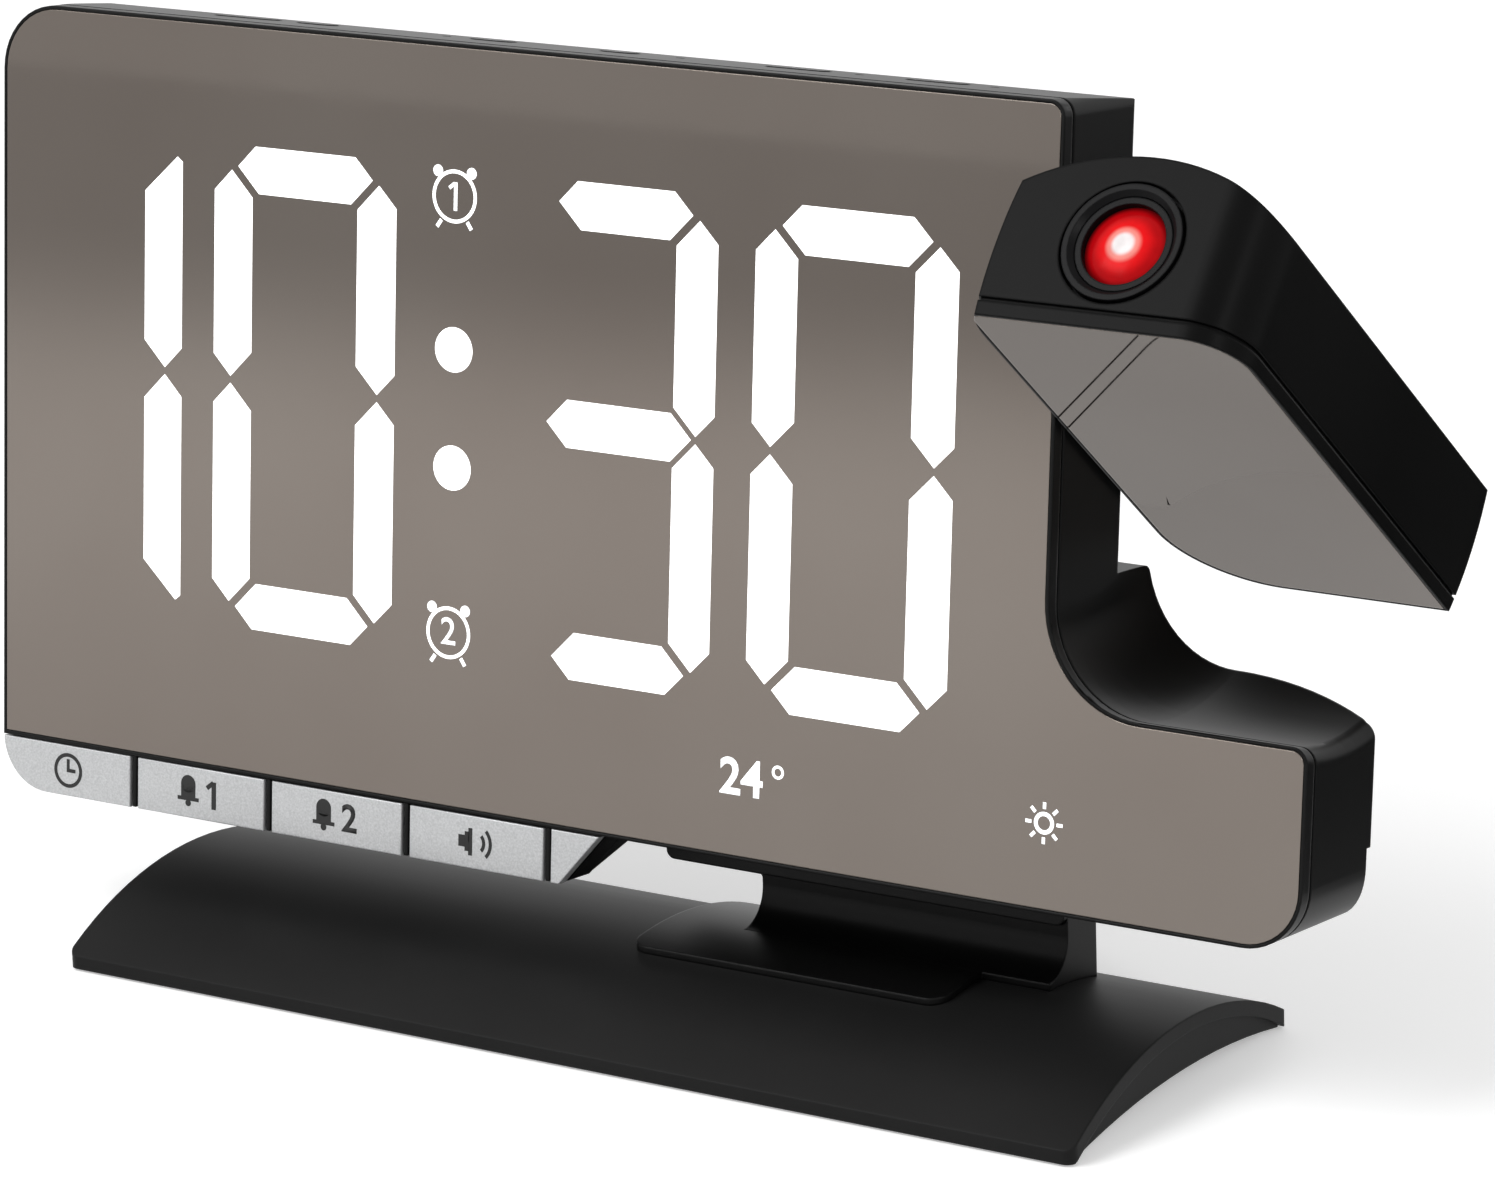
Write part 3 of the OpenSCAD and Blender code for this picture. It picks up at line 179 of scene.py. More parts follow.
def tones(tree, factor, low, high, at):
    """A colour ramp between two hex colours."""
    ramp = add_node(tree, "ShaderNodeValToRGB", links={"Fac": factor})
    ramp.color_ramp.elements[0].position = at[0]
    ramp.color_ramp.elements[0].color = hex_colour(low)
    ramp.color_ramp.elements[1].position = at[1]
    ramp.color_ramp.elements[1].color = hex_colour(high)
    return ramp.outputs["Color"]


def spread(tree, factor, low, high):
    """Maps a 0 to 1 pattern to a range of plain numbers."""
    node = add_node(tree, "ShaderNodeMapRange", {"To Min": low, "To Max": high}, {"Value": factor})
    return node.outputs["Result"]


def noise(tree, size_mm, detail=3.0, squeeze=(1, 1, 1)):
    """A noise pattern whose features are about size_mm wide, on the piece's own coordinates."""
    place = add_node(tree, "ShaderNodeTexCoord")
    turned = add_node(
        tree, "ShaderNodeMapping", {"Scale": squeeze}, {"Vector": place.outputs["Object"]}
    )
    pattern = add_node(
        tree,
        "ShaderNodeTexNoise",
        {"Scale": 1 / (size_mm * MM), "Detail": detail},
        {"Vector": turned.outputs["Vector"]},
    )
    return pattern.outputs["Fac"]


def soft_edges(tree, radius_mm, samples):
    """Normals that round the edges in the shading alone."""
    node = add_node(tree, "ShaderNodeBevel", {"Radius": radius_mm * MM}, samples=samples)
    return node.outputs["Normal"]


def bumps(tree, height, strength, depth_mm, normal=None):
    """Normals that follow a pattern, laid over other normals if there are any."""
    links = {"Height": height, "Normal": normal} if normal else {"Height": height}
    values = {"Strength": strength, "Distance": depth_mm * MM}
    return add_node(tree, "ShaderNodeBump", values, links).outputs["Normal"]


print("helpers for materials ready")

# %% [markdown]
# ## The housing plastic
#
# The shells, the frames and the foot are injection moulded ABS, black in the mass. The mould is
# spark eroded, which leaves a very fine grain: it breaks a reflection up into a soft, silky
# sheen. The grain is some 0.1 mm wide, drawn here at 0.35 mm so that it still shows. Handling
# polishes and smears the surface a little, so the roughness drifts over a few centimetres. A
# bevel in the shader catches the light on the moulded edges, which are rounded by a few tenths of
# a millimetre.

# %% Material: moulded black ABS
def moulded_plastic(
    name, low, high, roughness, specular, grain_mm=0.35, grain_depth=0.012, edge_mm=0.4
):
    material, tree, shader = new_material(name)
    cloud = noise(tree, 45, 4)
    grain = noise(tree, grain_mm, 2)
    tree.links.new(tones(tree, cloud, low, high, (0.35, 0.65)), shader.inputs["Base Color"])
    drift = spread(tree, cloud, roughness - 0.05, roughness + 0.05)
    tree.links.new(drift, shader.inputs["Roughness"])
    normal = bumps(tree, grain, 0.25, grain_depth, soft_edges(tree, edge_mm, 6))
    tree.links.new(normal, shader.inputs["Normal"])
    set_inputs(shader, Specular_IOR_Level=specular, IOR=1.53)
    return material


housing_abs = moulded_plastic("abs_black_moulded", "#050505", "#0a0a0a", 0.36, 0.12)
head_abs = moulded_plastic("abs_black_projector_head", "#060606", "#0b0b0b", 0.34, 0.05)
foot_abs = moulded_plastic("abs_black_foot", "#131313", "#191919", 0.45, 0.1, 0.35, 0.015)
key_abs = moulded_plastic("abs_black_key", "#0c0c0d", "#121213", 0.38, 0.14, 0.3, 0.015, 0.25)
projector_abs = moulded_plastic(
    "pc_black_turned", "#070708", "#0c0c0d", 0.34, 0.07, 0.25, 0.01, 0.25
)
socket_abs = moulded_plastic(
    "pbt_black_socket", "#0b0b0c", "#111112", 0.5, 0.15, 0.3, 0.02, 0.15
)
print("black plastics ready")

# %% [markdown]
# ## The mirror
#
# The front is a sheet of acrylic with a half-transparent metal coat behind it. It reflects about
# a sixth of the light, with a warm smoky tint, and the display shines through it. A little of the
# tint is scattered in the sheet, so the shader is not quite a full metal. Faint polishing swirls
# make the reflection soften in places.

# %% Material: smoked acrylic mirror
def smoked_mirror(name):
    material, tree, shader = new_material(name)
    cloud = noise(tree, 60, 3)
    smear = noise(tree, 9, 4, (1, 1, 0.25))
    tint = tones(tree, cloud, "#716963", "#77706a", (0.3, 0.7))
    tree.links.new(tint, shader.inputs["Base Color"])
    tree.links.new(spread(tree, smear, 0.01, 0.05), shader.inputs["Roughness"])
    tree.links.new(soft_edges(tree, 0.2, 4), shader.inputs["Normal"])
    set_inputs(shader, Metallic=0.92, Specular_IOR_Level=0.5)
    return material


mirror_acrylic = smoked_mirror("acrylic_smoked_mirror")
print("mirror ready")

# %% [markdown]
# ## The lit windows
#
# Behind the clear windows a white light box glows almost evenly: the glow drifts by a few
# hundredths over a centimetre or so. It stays near 1, which renders as paper white without
# bleeding colour.

# %% Material: lit window and light box
def lit_window(name, colour, strength):
    material, tree, shader = new_material(name)
    cloud = noise(tree, 14, 2)
    glow = spread(tree, cloud, strength * 0.97, strength * 1.03)
    tree.links.new(glow, shader.inputs["Emission Strength"])
    shade = hex_colour(colour)
    set_inputs(shader, Base_Color=shade, Emission_Color=shade, Roughness=0.25)
    return material


digit_light = lit_window("acrylic_lit_white", "#ffffff", 1.0)
mark_light = lit_window("acrylic_lit_mark", "#f4f6f8", 0.9)
print("lit windows ready")

# %% [markdown]
# ## Painted keys
#
# The front keys are moulded ABS with a coat of light silver paint: tiny aluminium flakes in a
# clear binder. The flakes are a few hundredths of a millimetre; here they are drawn at 0.25 mm.

# %% Material: silver paint
def silver_paint(name):
    material, tree, shader = new_material(name)
    flakes = noise(tree, 0.25, 2)
    cloud = noise(tree, 12, 3)
    silver = tones(tree, flakes, "#aeafb0", "#c4c5c6", (0.3, 0.7))
    tree.links.new(silver, shader.inputs["Base Color"])
    tree.links.new(spread(tree, cloud, 0.3, 0.42), shader.inputs["Roughness"])
    normal = bumps(tree, flakes, 0.15, 0.01, soft_edges(tree, 0.25, 6))
    tree.links.new(normal, shader.inputs["Normal"])
    set_inputs(shader, Metallic=0.35, Specular_IOR_Level=0.5)
    return material


key_paint = silver_paint("paint_silver_flake")
print("silver paint ready")

# %% [markdown]
# ## Metals, boards and rubber
#
# Rings and sockets are zinc plated steel and the screws are blackened. Both are turned or rolled,
# so the metal shows fine lines. The boards are green solder mask on glass fibre. The pads under
# the foot are black rubber, dull and slightly dusty.

# %% Materials: steel, brass, board, rubber
def plated_metal(name, low, high, roughness, line_mm):
    material, tree, shader = new_material(name)
    lines = noise(tree, line_mm, 3, (1, 1, 0.2))
    tree.links.new(tones(tree, lines, low, high, (0.3, 0.7)), shader.inputs["Base Color"])
    drift = spread(tree, lines, roughness - 0.08, roughness + 0.08)
    tree.links.new(drift, shader.inputs["Roughness"])
    tree.links.new(soft_edges(tree, 0.15, 4), shader.inputs["Normal"])
    set_inputs(shader, Metallic=1.0)
    return material


def dull_solid(name, low, high, roughness, spot_mm, depth_mm):
    material, tree, shader = new_material(name)
    spots = noise(tree, spot_mm, 4)
    tree.links.new(tones(tree, spots, low, high, (0.35, 0.65)), shader.inputs["Base Color"])
    tree.links.new(bumps(tree, spots, 0.3, depth_mm), shader.inputs["Normal"])
    set_inputs(shader, Roughness=roughness)
    return material


zinc_steel = plated_metal("steel_zinc_plated", "#8f9092", "#b4b5b8", 0.34, 0.3)
black_steel = plated_metal("steel_black_oxide", "#1e1e20", "#2c2c2f", 0.42, 0.3)
contact_brass = plated_metal("brass_rolled", "#b99a54", "#d2b46c", 0.3, 0.4)
board_mask = dull_solid("board_solder_mask", "#0c3a1c", "#125026", 0.35, 1.2, 0.02)
foot_rubber = dull_solid("rubber_black_foot", "#131313", "#1f1f1f", 0.85, 0.6, 0.05)
diffuser_white = dull_solid("polystyrene_white_box", "#dedfdc", "#f0f0ee", 0.6, 2.0, 0.02)
led_epoxy = dull_solid("epoxy_led", "#e8e0bc", "#f5efd2", 0.2, 0.8, 0.01)
print("small materials ready")

# %% [markdown]
# ## The projection lens
#
# The lens is clear acrylic with the red projector lamp right behind it. What the eye sees is a
# deep red disc with a hot, nearly white middle. Distance from the lens axis drives the glow, so
# the hot spot stays in the middle of the lens from every side.

# %% Material: red lens
LENS_RADIUS = 5.1 * MM
LENS_MIDDLE = "#ffffff"
LENS_RINGS = ((0.2, "#ffffff"), (0.33, "#ff9a90"), (0.48, "#f01418"), (0.8, "#b0060c"))
LENS_RIM = "#4a0205"


def glowing_lens(name):
    material, tree, shader = new_material(name)
    place = add_node(tree, "ShaderNodeTexCoord")
    local = lens_to_world.inverted()
    straight = add_node(
        tree,
        "ShaderNodeMapping",
        {"Rotation": local.to_euler(), "Location": local.translation},
        {"Vector": place.outputs["Object"]},
    )
    flat = add_node(
        tree,
        "ShaderNodeVectorMath",
        {1: (1 / LENS_RADIUS, 1 / LENS_RADIUS, 0)},
        {0: straight.outputs["Vector"]},
        operation="MULTIPLY",
    )
    reach = add_node(
        tree, "ShaderNodeVectorMath", links={0: flat.outputs["Vector"]}, operation="LENGTH"
    )
    glow = add_node(tree, "ShaderNodeValToRGB", links={"Fac": reach.outputs["Value"]})
    ramp = glow.color_ramp
    ramp.interpolation = "EASE"
    ramp.elements[0].color = hex_colour(LENS_MIDDLE)
    ramp.elements[1].position = 1.0
    ramp.elements[1].color = hex_colour(LENS_RIM)
    for position, code in LENS_RINGS:
        ramp.elements.new(position).color = hex_colour(code)
    tree.links.new(glow.outputs["Color"], shader.inputs["Emission Color"])
    facets = noise(tree, 1.6, 2)
    tree.links.new(spread(tree, facets, 0.75, 1.1), shader.inputs["Emission Strength"])
    set_inputs(shader, Base_Color=hex_colour("#3a0204"), Roughness=0.2)
    set_inputs(shader, IOR=1.49, Specular_IOR_Level=0.05)
    return material


lens_red = glowing_lens("acrylic_red_lens")
slide_glass = dull_solid("glass_lcd_slide", "#33403a", "#46564e", 0.12, 1.0, 0.005)
condenser_acrylic = dull_solid("acrylic_condenser", "#d7dde0", "#e9eef0", 0.08, 3.0, 0.005)
lamp_red = lit_window("epoxy_red_lamp", "#ff2418", 1.2)
print("lens ready")

# %% [markdown]
# ## Dress the solids
#
# Every CAD node keeps its shape and gets a finish. A table from material to nodes is easy to read
# and shows at once if a node was forgotten.

# %% Finish for every node
FINISHES = {
    housing_abs: ["front_frame", "rear_shell", "battery_door", "neck"],
    head_abs: ["head_shell", "head_bezel"],
    foot_abs: ["base_shell", "base_cover"],
    mirror_acrylic: ["mirror_panel", "head_mirror"],
    digit_light: ["digit_windows"],
    diffuser_white: ["light_box"],
    board_mask: ["display_board", "key_board", "top_board", "main_board", "led_board"],
    led_epoxy: ["display_leds"],
    key_paint: ["front_key_1", "front_key_2", "front_key_3", "front_key_4", "strip_end"],
    key_abs: ["snooze_bar", "top_key_1", "top_key_2", "top_key_3", "top_key_4", "top_key_5"],
    socket_abs: ["key_switches", "top_switches", "dc_jack", "battery_tray", "speaker"],
    zinc_steel: ["usb_port", "coin_cell", "base_weight", "wave_washer", "snap_ring"],
    black_steel: ["case_screws", "door_screw", "neck_screws", "base_screws", "head_screws"],
    contact_brass: ["battery_contact"],
    foot_rubber: ["rubber_pads"],
    projector_abs: ["pivot_shaft", "projector_tube", "focus_ring", "lens_barrel"],
    lens_red: ["projection_lens"],
    condenser_acrylic: ["condenser"],
    slide_glass: ["lcd_slide"],
    lamp_red: ["projector_led"],
}


def dress(nodes, material):
    for name in nodes:
        data = frame["nodes"][name].data
        data.materials.clear()
        data.materials.append(material)


for material, nodes in FINISHES.items():
    dress(nodes, material)
dressed = {name for nodes in FINISHES.values() for name in nodes}
print("undressed nodes:", sorted(set(frame["nodes"]) - dressed))

# %% [markdown]
# ## Printed and lit marks
#
# A few helpers serve every mesh that follows: they copy a solid, draw faces out, round edges and
# turn a finished bmesh into an object.
#
# The marks on the keys and on the display are flat prints, a few hundredths of a millimetre
# thick. A mark is drawn on a flat sheet in X and Z, with bmesh circles, bars and figures, given a
# thin wall, and then laid on the front of the clock with the clock's matrix.

# %% Helpers for meshes
WELD = 0.002 * MM


def new_object(name, shape, material=None):
    """Turns a finished bmesh into an object of the scene."""
    data = bpy.data.meshes.new(name)
    shape.to_mesh(data)
    shape.free()
    if material:
        data.materials.append(material)
    thing = bpy.data.objects.new(name, data)
    bpy.context.scene.collection.objects.link(thing)
    return thing


def mesh_object(name, shape, material, body):
    """Turns a finished bmesh into an object that rides on a body."""
    bmesh.ops.recalc_face_normals(shape, faces=shape.faces)
    piece = new_object(name, shape, material)
    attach(piece, body)
    return piece


def move(shape, place):
    """Takes a whole bmesh to a place."""
    bmesh.ops.transform(shape, matrix=place, verts=shape.verts[:])


def copied(node, place):
    """A bmesh copy of a solid, with its triangles joined, in the frame that place gives."""
    shape = bmesh.new()
    shape.from_mesh(frame["nodes"][node].data)
    move(shape, place.inverted())
    bmesh.ops.remove_doubles(shape, verts=shape.verts[:], dist=WELD)
    return shape


def add_box(shape, low, high):
    """A box between two corners."""
    size = Vector(high) - Vector(low)
    middle = Matrix.Translation(Vector(low) + size / 2)
    place = middle @ Matrix.Diagonal((size.x, size.y, size.z, 1))
    bmesh.ops.create_cube(shape, size=1, matrix=place)


def extrude(shape, faces, way):
    """Draws faces out by way into a solid, and returns the vertices that moved."""
    walls = bmesh.ops.extrude_face_region(shape, geom=faces)
    moved = [v for v in walls["geom"] if isinstance(v, bmesh.types.BMVert)]
    bmesh.ops.translate(shape, verts=moved, vec=way)
    return moved


def bevel(shape, edges, width, segments=2, **options):
    """Rounds edges of a bmesh."""
    bmesh.ops.bevel(
        shape,
        geom=edges,
        offset=width,
        affect="EDGES",
        segments=segments,
        profile=0.5,
        material=-1,
        **options,
    )


def islands(shape):
    """Groups of vertices that hang together."""
    seen, groups = set(), []
    for start in shape.verts:
        if start in seen:
            continue
        seen.add(start)
        reach, group = [start], []
        while reach:
            vert = reach.pop()
            group.append(vert)
            for edge in vert.link_edges:
                other = edge.other_vert(vert)
                if other not in seen:
                    seen.add(other)
                    reach.append(other)
        groups.append(group)
    return groups


print("helpers for meshes ready")


# %% Drawing helpers
SHEET = Matrix.Rotation(math.pi / 2, 4, "X")
FIGURE_SHARE = 0.7  # a figure's height, as a share of the font's size


def disc(shape, x, z, radius, segments=40):
    """A filled disc."""
    place = Matrix.Translation((x, 0, z)) @ SHEET
    bmesh.ops.create_circle(
        shape, cap_ends=True, radius=radius, segments=segments, matrix=place
    )


def ring(shape, x, z, outer, inner, start=0.0, sweep=2 * math.pi, segments=40):
    """A flat ring, or an arc of one, spun from one edge."""
    before = set(shape.verts)
    first = [
        shape.verts.new((r * math.cos(start), 0, r * math.sin(start))) for r in (inner, outer)
    ]
    edge = shape.edges.new(first)
    bmesh.ops.spin(
        shape,
        geom=first + [edge],
        cent=(0, 0, 0),
        axis=(0, -1, 0),
        angle=sweep,
        steps=segments,
        use_merge=sweep > 2 * math.pi - 0.001,
    )
    made = [v for v in shape.verts if v not in before]
    bmesh.ops.translate(shape, verts=made, vec=(x, 0, z))


def bar(shape, x, z, length, width, angle=0.0):
    """A flat bar with its middle at x, z."""
    place = (
        Matrix.Translation((x, 0, z))
        @ Matrix.Rotation(-angle, 4, "Y")
        @ Matrix.Diagonal((length, 1, width, 1))
        @ SHEET
    )
    bmesh.ops.create_grid(shape, x_segments=1, y_segments=1, size=0.5, matrix=place)


def figure(shape, text, x, z, height, bold=0.0):
    """Plain figures, centred at x, z. Text becomes a mesh before it is placed."""
    curve = bpy.data.curves.new("figure", "FONT")
    curve.body = text
    curve.align_x = "CENTER"
    curve.align_y = "CENTER"
    curve.size = height / FIGURE_SHARE
    curve.offset = bold
    curve.resolution_u = 4
    holder = bpy.data.objects.new("figure", curve)
    bpy.context.scene.collection.objects.link(holder)
    solved = holder.evaluated_get(bpy.context.evaluated_depsgraph_get())
    flat = bpy.data.meshes.new_from_object(solved)
    flat.transform(Matrix.Translation((x, 0, z)) @ SHEET)
    shape.from_mesh(flat)
    bpy.data.meshes.remove(flat)
    bpy.data.objects.remove(holder)
    bpy.data.curves.remove(curve)


def lay_on_front(shape, thickness, lift, place):
    """Gives a flat drawing a thin wall towards -Y and lays it in place."""
    bmesh.ops.recalc_face_normals(shape, faces=shape.faces)
    extrude(shape, shape.faces[:], (0, -thickness, 0))
    bmesh.ops.translate(shape, verts=shape.verts[:], vec=(0, -lift, 0))
    move(shape, place)


print("drawing helpers ready")

# %% [markdown]
# ## The mirror plate
#
# The real front is one plain plate, and the digits are seen through it. So the plate is drawn
# again without its windows: the front face of the solid is copied, its outer edge is filled with
# one face, that face is extruded to the plate's thickness, and its front edge is ground to a
# small bevel.

# %% Plain plate from the outline of the solid
CLOSE = 0.01 * MM


def edge_loop_round(vert):
    """All boundary edges that hang together with vert."""
    found, reach = set(), [vert]
    while reach:
        for edge in reach.pop().link_edges:
            if edge.is_boundary and edge not in found:
                found.add(edge)
                reach += edge.verts
    return list(found)


def plain_plate(name, node, body, place, bevel_mm):
    """The plate of a node without its openings, in the frame that place gives."""
    shape = copied(node, place)
    front = min(v.co.y for v in shape.verts)
    depth = max(v.co.y for v in shape.verts) - front
    others = [f for f in shape.faces if max(v.co.y for v in f.verts) > front + CLOSE]
    bmesh.ops.delete(shape, geom=others, context="FACES")
    edges = edge_loop_round(min(shape.verts, key=lambda v: v.co.x))
    keep = {v for e in edges for v in e.verts}
    bmesh.ops.delete(shape, geom=shape.faces[:], context="FACES_ONLY")
    inside = [v for v in shape.verts if v not in keep]
    bmesh.ops.delete(shape, geom=inside, context="VERTS")
    spare = [e for e in shape.edges if e not in set(edges)]
    bmesh.ops.delete(shape, geom=spare, context="EDGES")
    bmesh.ops.contextual_create(shape, geom=shape.edges[:])
    extrude(shape, shape.faces[:], (0, depth, 0))
    rim = [e for e in shape.edges if max(v.co.y for v in e.verts) < front + CLOSE]
    bevel(shape, rim, bevel_mm * MM, clamp_overlap=True)
    move(shape, place)
    plate = mesh_object(name, shape, mirror_acrylic, body)
    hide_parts(node)
    return plate


front_plate = plain_plate("front_plate", "mirror_panel", "clock", clock_to_world, 0.15)
print("plate faces:", len(front_plate.data.polygons))

# %% [markdown]
# ## The digits
#
# Each digit is built from bars with pointed ends. A bar is a face with six corners, so it is
# drawn from those corners. The windows have a hair-thin dark edge where the mirror coat stops: an
# outset ring round each bar carries the dark finish. The colon and the two alarm rings belong to
# the same piece, because they are windows in the same coat.

# %% Bars, colon and rings
DIGIT_LOW, DIGIT_MID, DIGIT_HIGH = 18.5 * MM, 50.1 * MM, 79.8 * MM
DIGIT_X = [-94.2 * MM, -61.1 * MM, -12.6 * MM, 19.3 * MM]
DIGIT_WIDE = [28 * MM, 28 * MM, 26.6 * MM, 28 * MM]
DIGIT_BARS = ["bc", "abcdef", "abcdg", "abcdef"]
BAR = 5.9 * MM
BAR_GAP = 0.9 * MM
TIP = BAR * 0.45  # how far a bar's point lies from its outer side
SLANT = BAR - TIP
CORNER = BAR * 0.62  # how far a bar stops short of the digit's corner
ONE_SHORT = 2.3 * MM  # how much lower than the others the figure 1 is at each end
ONE_POINT = (0.8 * MM, 0.6 * MM)
ONE_SLANT = 4.7 * MM
COLON_X, COLON_Z, DOT = -24.2 * MM, (42.7 * MM, 57.4 * MM), 2.8 * MM
ICON_X, ICON_Z, RING = -24.4 * MM, (76.3 * MM, 22 * MM), 3.3 * MM
RING_WIDE = 0.45 * MM
EDGE_WIDE = 0.13 * MM
PRINT = 0.03 * MM
LIFT = 0.01 * MM
window_edge = dull_solid("coat_dark_edge", "#2a2623", "#322e2a", 0.5, 1.0, 0.002)


def patch(shape, corners):
    """One face from a few corners in X and Z."""
    return shape.faces.new([shape.verts.new((x, 0, z)) for x, z in corners])


def upright(shape, edge, side, low, high):
    """A bar along Z: edge is its outer side, and its inner side is the shorter one."""
    inner = edge - side * BAR
    patch(
        shape,
        [
            (edge - side * TIP, low),
            (edge, low + TIP),
            (edge, high - TIP),
            (edge - side * TIP, high),
            (inner, high - SLANT),
            (inner, low + SLANT),
        ],
    )


def level(shape, left, right, outer, side):
    """A bar along X whose long side is outer."""
    inner = outer - side * BAR
    patch(
        shape,
        [
            (left + TIP, outer),
            (right - TIP, outer),
            (right, outer - side * TIP),
            (right - BAR + TIP, inner),
            (left + BAR - TIP, inner),
            (left, outer - side * TIP),
        ],
    )


def middle_bar(shape, start, end):
    """The bar across the middle, pointed at both ends."""
    half = BAR / 2
    patch(
        shape,
        [
            (start, DIGIT_MID),
            (start + half, DIGIT_MID + half),
            (end - half, DIGIT_MID + half),
            (end, DIGIT_MID),
            (end - half, DIGIT_MID - half),
            (start + half, DIGIT_MID - half),
        ],
    )


def draw_one(shape, right):
    """The figure 1: two bars, cut off at a slant above and below."""
    for side, end in ((-1, DIGIT_LOW), (1, DIGIT_HIGH)):
        near, far = DIGIT_MID + side * BAR_GAP / 2, end - side * ONE_SHORT
        patch(
            shape,
            [
                (right - TIP, near),
                (right, near + side * TIP),
                (right, far - side * ONE_POINT[1]),
                (right - ONE_POINT[0], far),
                (right - BAR, far - side * ONE_SLANT),
                (right - BAR, near + side * SLANT),
            ],
        )


def draw_digit(shape, left, wide, bars):
    right, gap = left + wide, BAR_GAP / 2
    if bars == "bc":
        draw_one(shape, right)
        return
    upper = (DIGIT_MID + gap, DIGIT_HIGH - CORNER + gap)
    lower = (DIGIT_LOW + CORNER - gap, DIGIT_MID - gap)
    uprights = {
        "b": (right, 1, *upper),
        "f": (left, -1, *upper),
        "c": (right, 1, *lower),
        "e": (left, -1, *lower),
    }
    for name, sizes in uprights.items():
        if name in bars:
            upright(shape, *sizes)
    for name, outer, side in (("a", DIGIT_HIGH, 1), ("d", DIGIT_LOW, -1)):
        if name in bars:
            level(shape, left + CORNER, right - CORNER, outer, side)
    if "g" in bars:
        middle_bar(shape, left + BAR * 0.4, right - BAR * 0.56)


def digit_piece():
    shape = bmesh.new()
    for left, wide, bars in zip(DIGIT_X, DIGIT_WIDE, DIGIT_BARS):
        draw_digit(shape, left, wide, bars)
    for z in COLON_Z:
        disc(shape, COLON_X, z, DOT, 56)
    for z in ICON_Z:
        ring(shape, ICON_X, z, RING, RING - RING_WIDE, segments=56)
    bmesh.ops.recalc_face_normals(shape, faces=shape.faces)
    edge = bmesh.ops.inset_region(
        shape,
        faces=shape.faces[:],
        thickness=EDGE_WIDE,
        use_even_offset=True,
        use_outset=True,
    )
    for face in edge["faces"]:
        face.material_index = 1
    lay_on_front(shape, PRINT, LIFT, clock_to_world)
    piece = mesh_object("lit_digits", shape, digit_light, "clock")
    piece.data.materials.append(window_edge)
    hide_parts("digit_windows")
    return piece


digits = digit_piece()
print("digit faces:", len(digits.data.polygons))

# %% [markdown]
# ## Lit symbols on the mirror
#
# Two little alarm clocks stand above and below the colon. Their rings are windows in the mirror;
# the bells, the feet and the figures are added here. Below the digits stand a plain number and a
# sun.

# %% Alarm symbols, number and sun
FLAG_ANGLE = math.radians(38)
FOOT_ANGLE = math.radians(55)


def alarm_symbol(number, z):
    shape = bmesh.new()
    for side in (-1, 1):
        foot_x, foot_z = ICON_X + side * 2.25 * MM, z - 3.45 * MM
        disc(shape, ICON_X + side * 2.5 * MM, z + 3.0 * MM, 0.72 * MM)
        bar(shape, foot_x, foot_z, 1.1 * MM, 0.5 * MM, -side * FOOT_ANGLE)
    if number == "1":
        bar(shape, ICON_X + 0.15 * MM, z, 0.5 * MM, 3.5 * MM)
        bar(shape, ICON_X - 0.4 * MM, z + 1.3 * MM, 1.0 * MM, 0.45 * MM, FLAG_ANGLE)
    else:
        figure(shape, number, ICON_X, z, 3.4 * MM, 0.03 * MM)
    lay_on_front(shape, PRINT, LIFT, clock_to_world)
    return mesh_object("alarm_symbol_" + number, shape, mark_light, "clock")


def small_number():
    shape = bmesh.new()
    figure(shape, "24", LEFT + 114 * MM, 9.6 * MM, 4.4 * MM, 0.12 * MM)
    ring(shape, LEFT + 119.2 * MM, 11.2 * MM, 0.85 * MM, 0.5 * MM)
    lay_on_front(shape, PRINT, LIFT, clock_to_world)
    return mesh_object("small_number", shape, mark_light, "clock")


def sun_symbol():
    shape = bmesh.new()
    x, z = LEFT + 156 * MM, 10.4 * MM
    ring(shape, x, z, 1.35 * MM, 0.85 * MM)
    for step in range(8):
        angle = step * math.pi / 4
        out_x, out_z = 2.1 * MM * math.cos(angle), 2.1 * MM * math.sin(angle)
        bar(shape, x + out_x, z + out_z, 0.8 * MM, 0.42 * MM, angle)
    lay_on_front(shape, PRINT, LIFT, clock_to_world)
    return mesh_object("sun_symbol", shape, mark_light, "clock")


alarms = [alarm_symbol("1", ICON_Z[0]), alarm_symbol("2", ICON_Z[1])]
for mark in alarms + [small_number(), sun_symbol()]:
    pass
print("lit symbols laid on the mirror")

# %% [markdown]
# ## Flush keys
#
# The four keys and the end piece reach right down to the lower edge of their strip, so no black
# rim shows under them. The caps are copies of the solids whose lower and left edges are drawn out
# to the outline of the strip, and the frame behind them is cut back with a boolean. Thin black
# bars are then set between the keys, as on the moulded strip, and a wedge behind the strip gives
# the housing its sloping back.

# %% Caps drawn out to the edge of the strip
STRIP_LOW = -7.4 * MM
STRIP_TOP = -0.5 * MM
STRIP_ROUND = 7 * MM
STRIP_SLANT = 6.4 * MM
RIM = 0.6 * MM
NEAR = 0.05 * MM  # how far off a vertex may lie and still count as on the rim
END_REACH = 0.7 * MM  # how far the end piece is drawn out at its slanted end
SHARP = 0.8  # the angle in radians from which an edge of a cap is bevelled


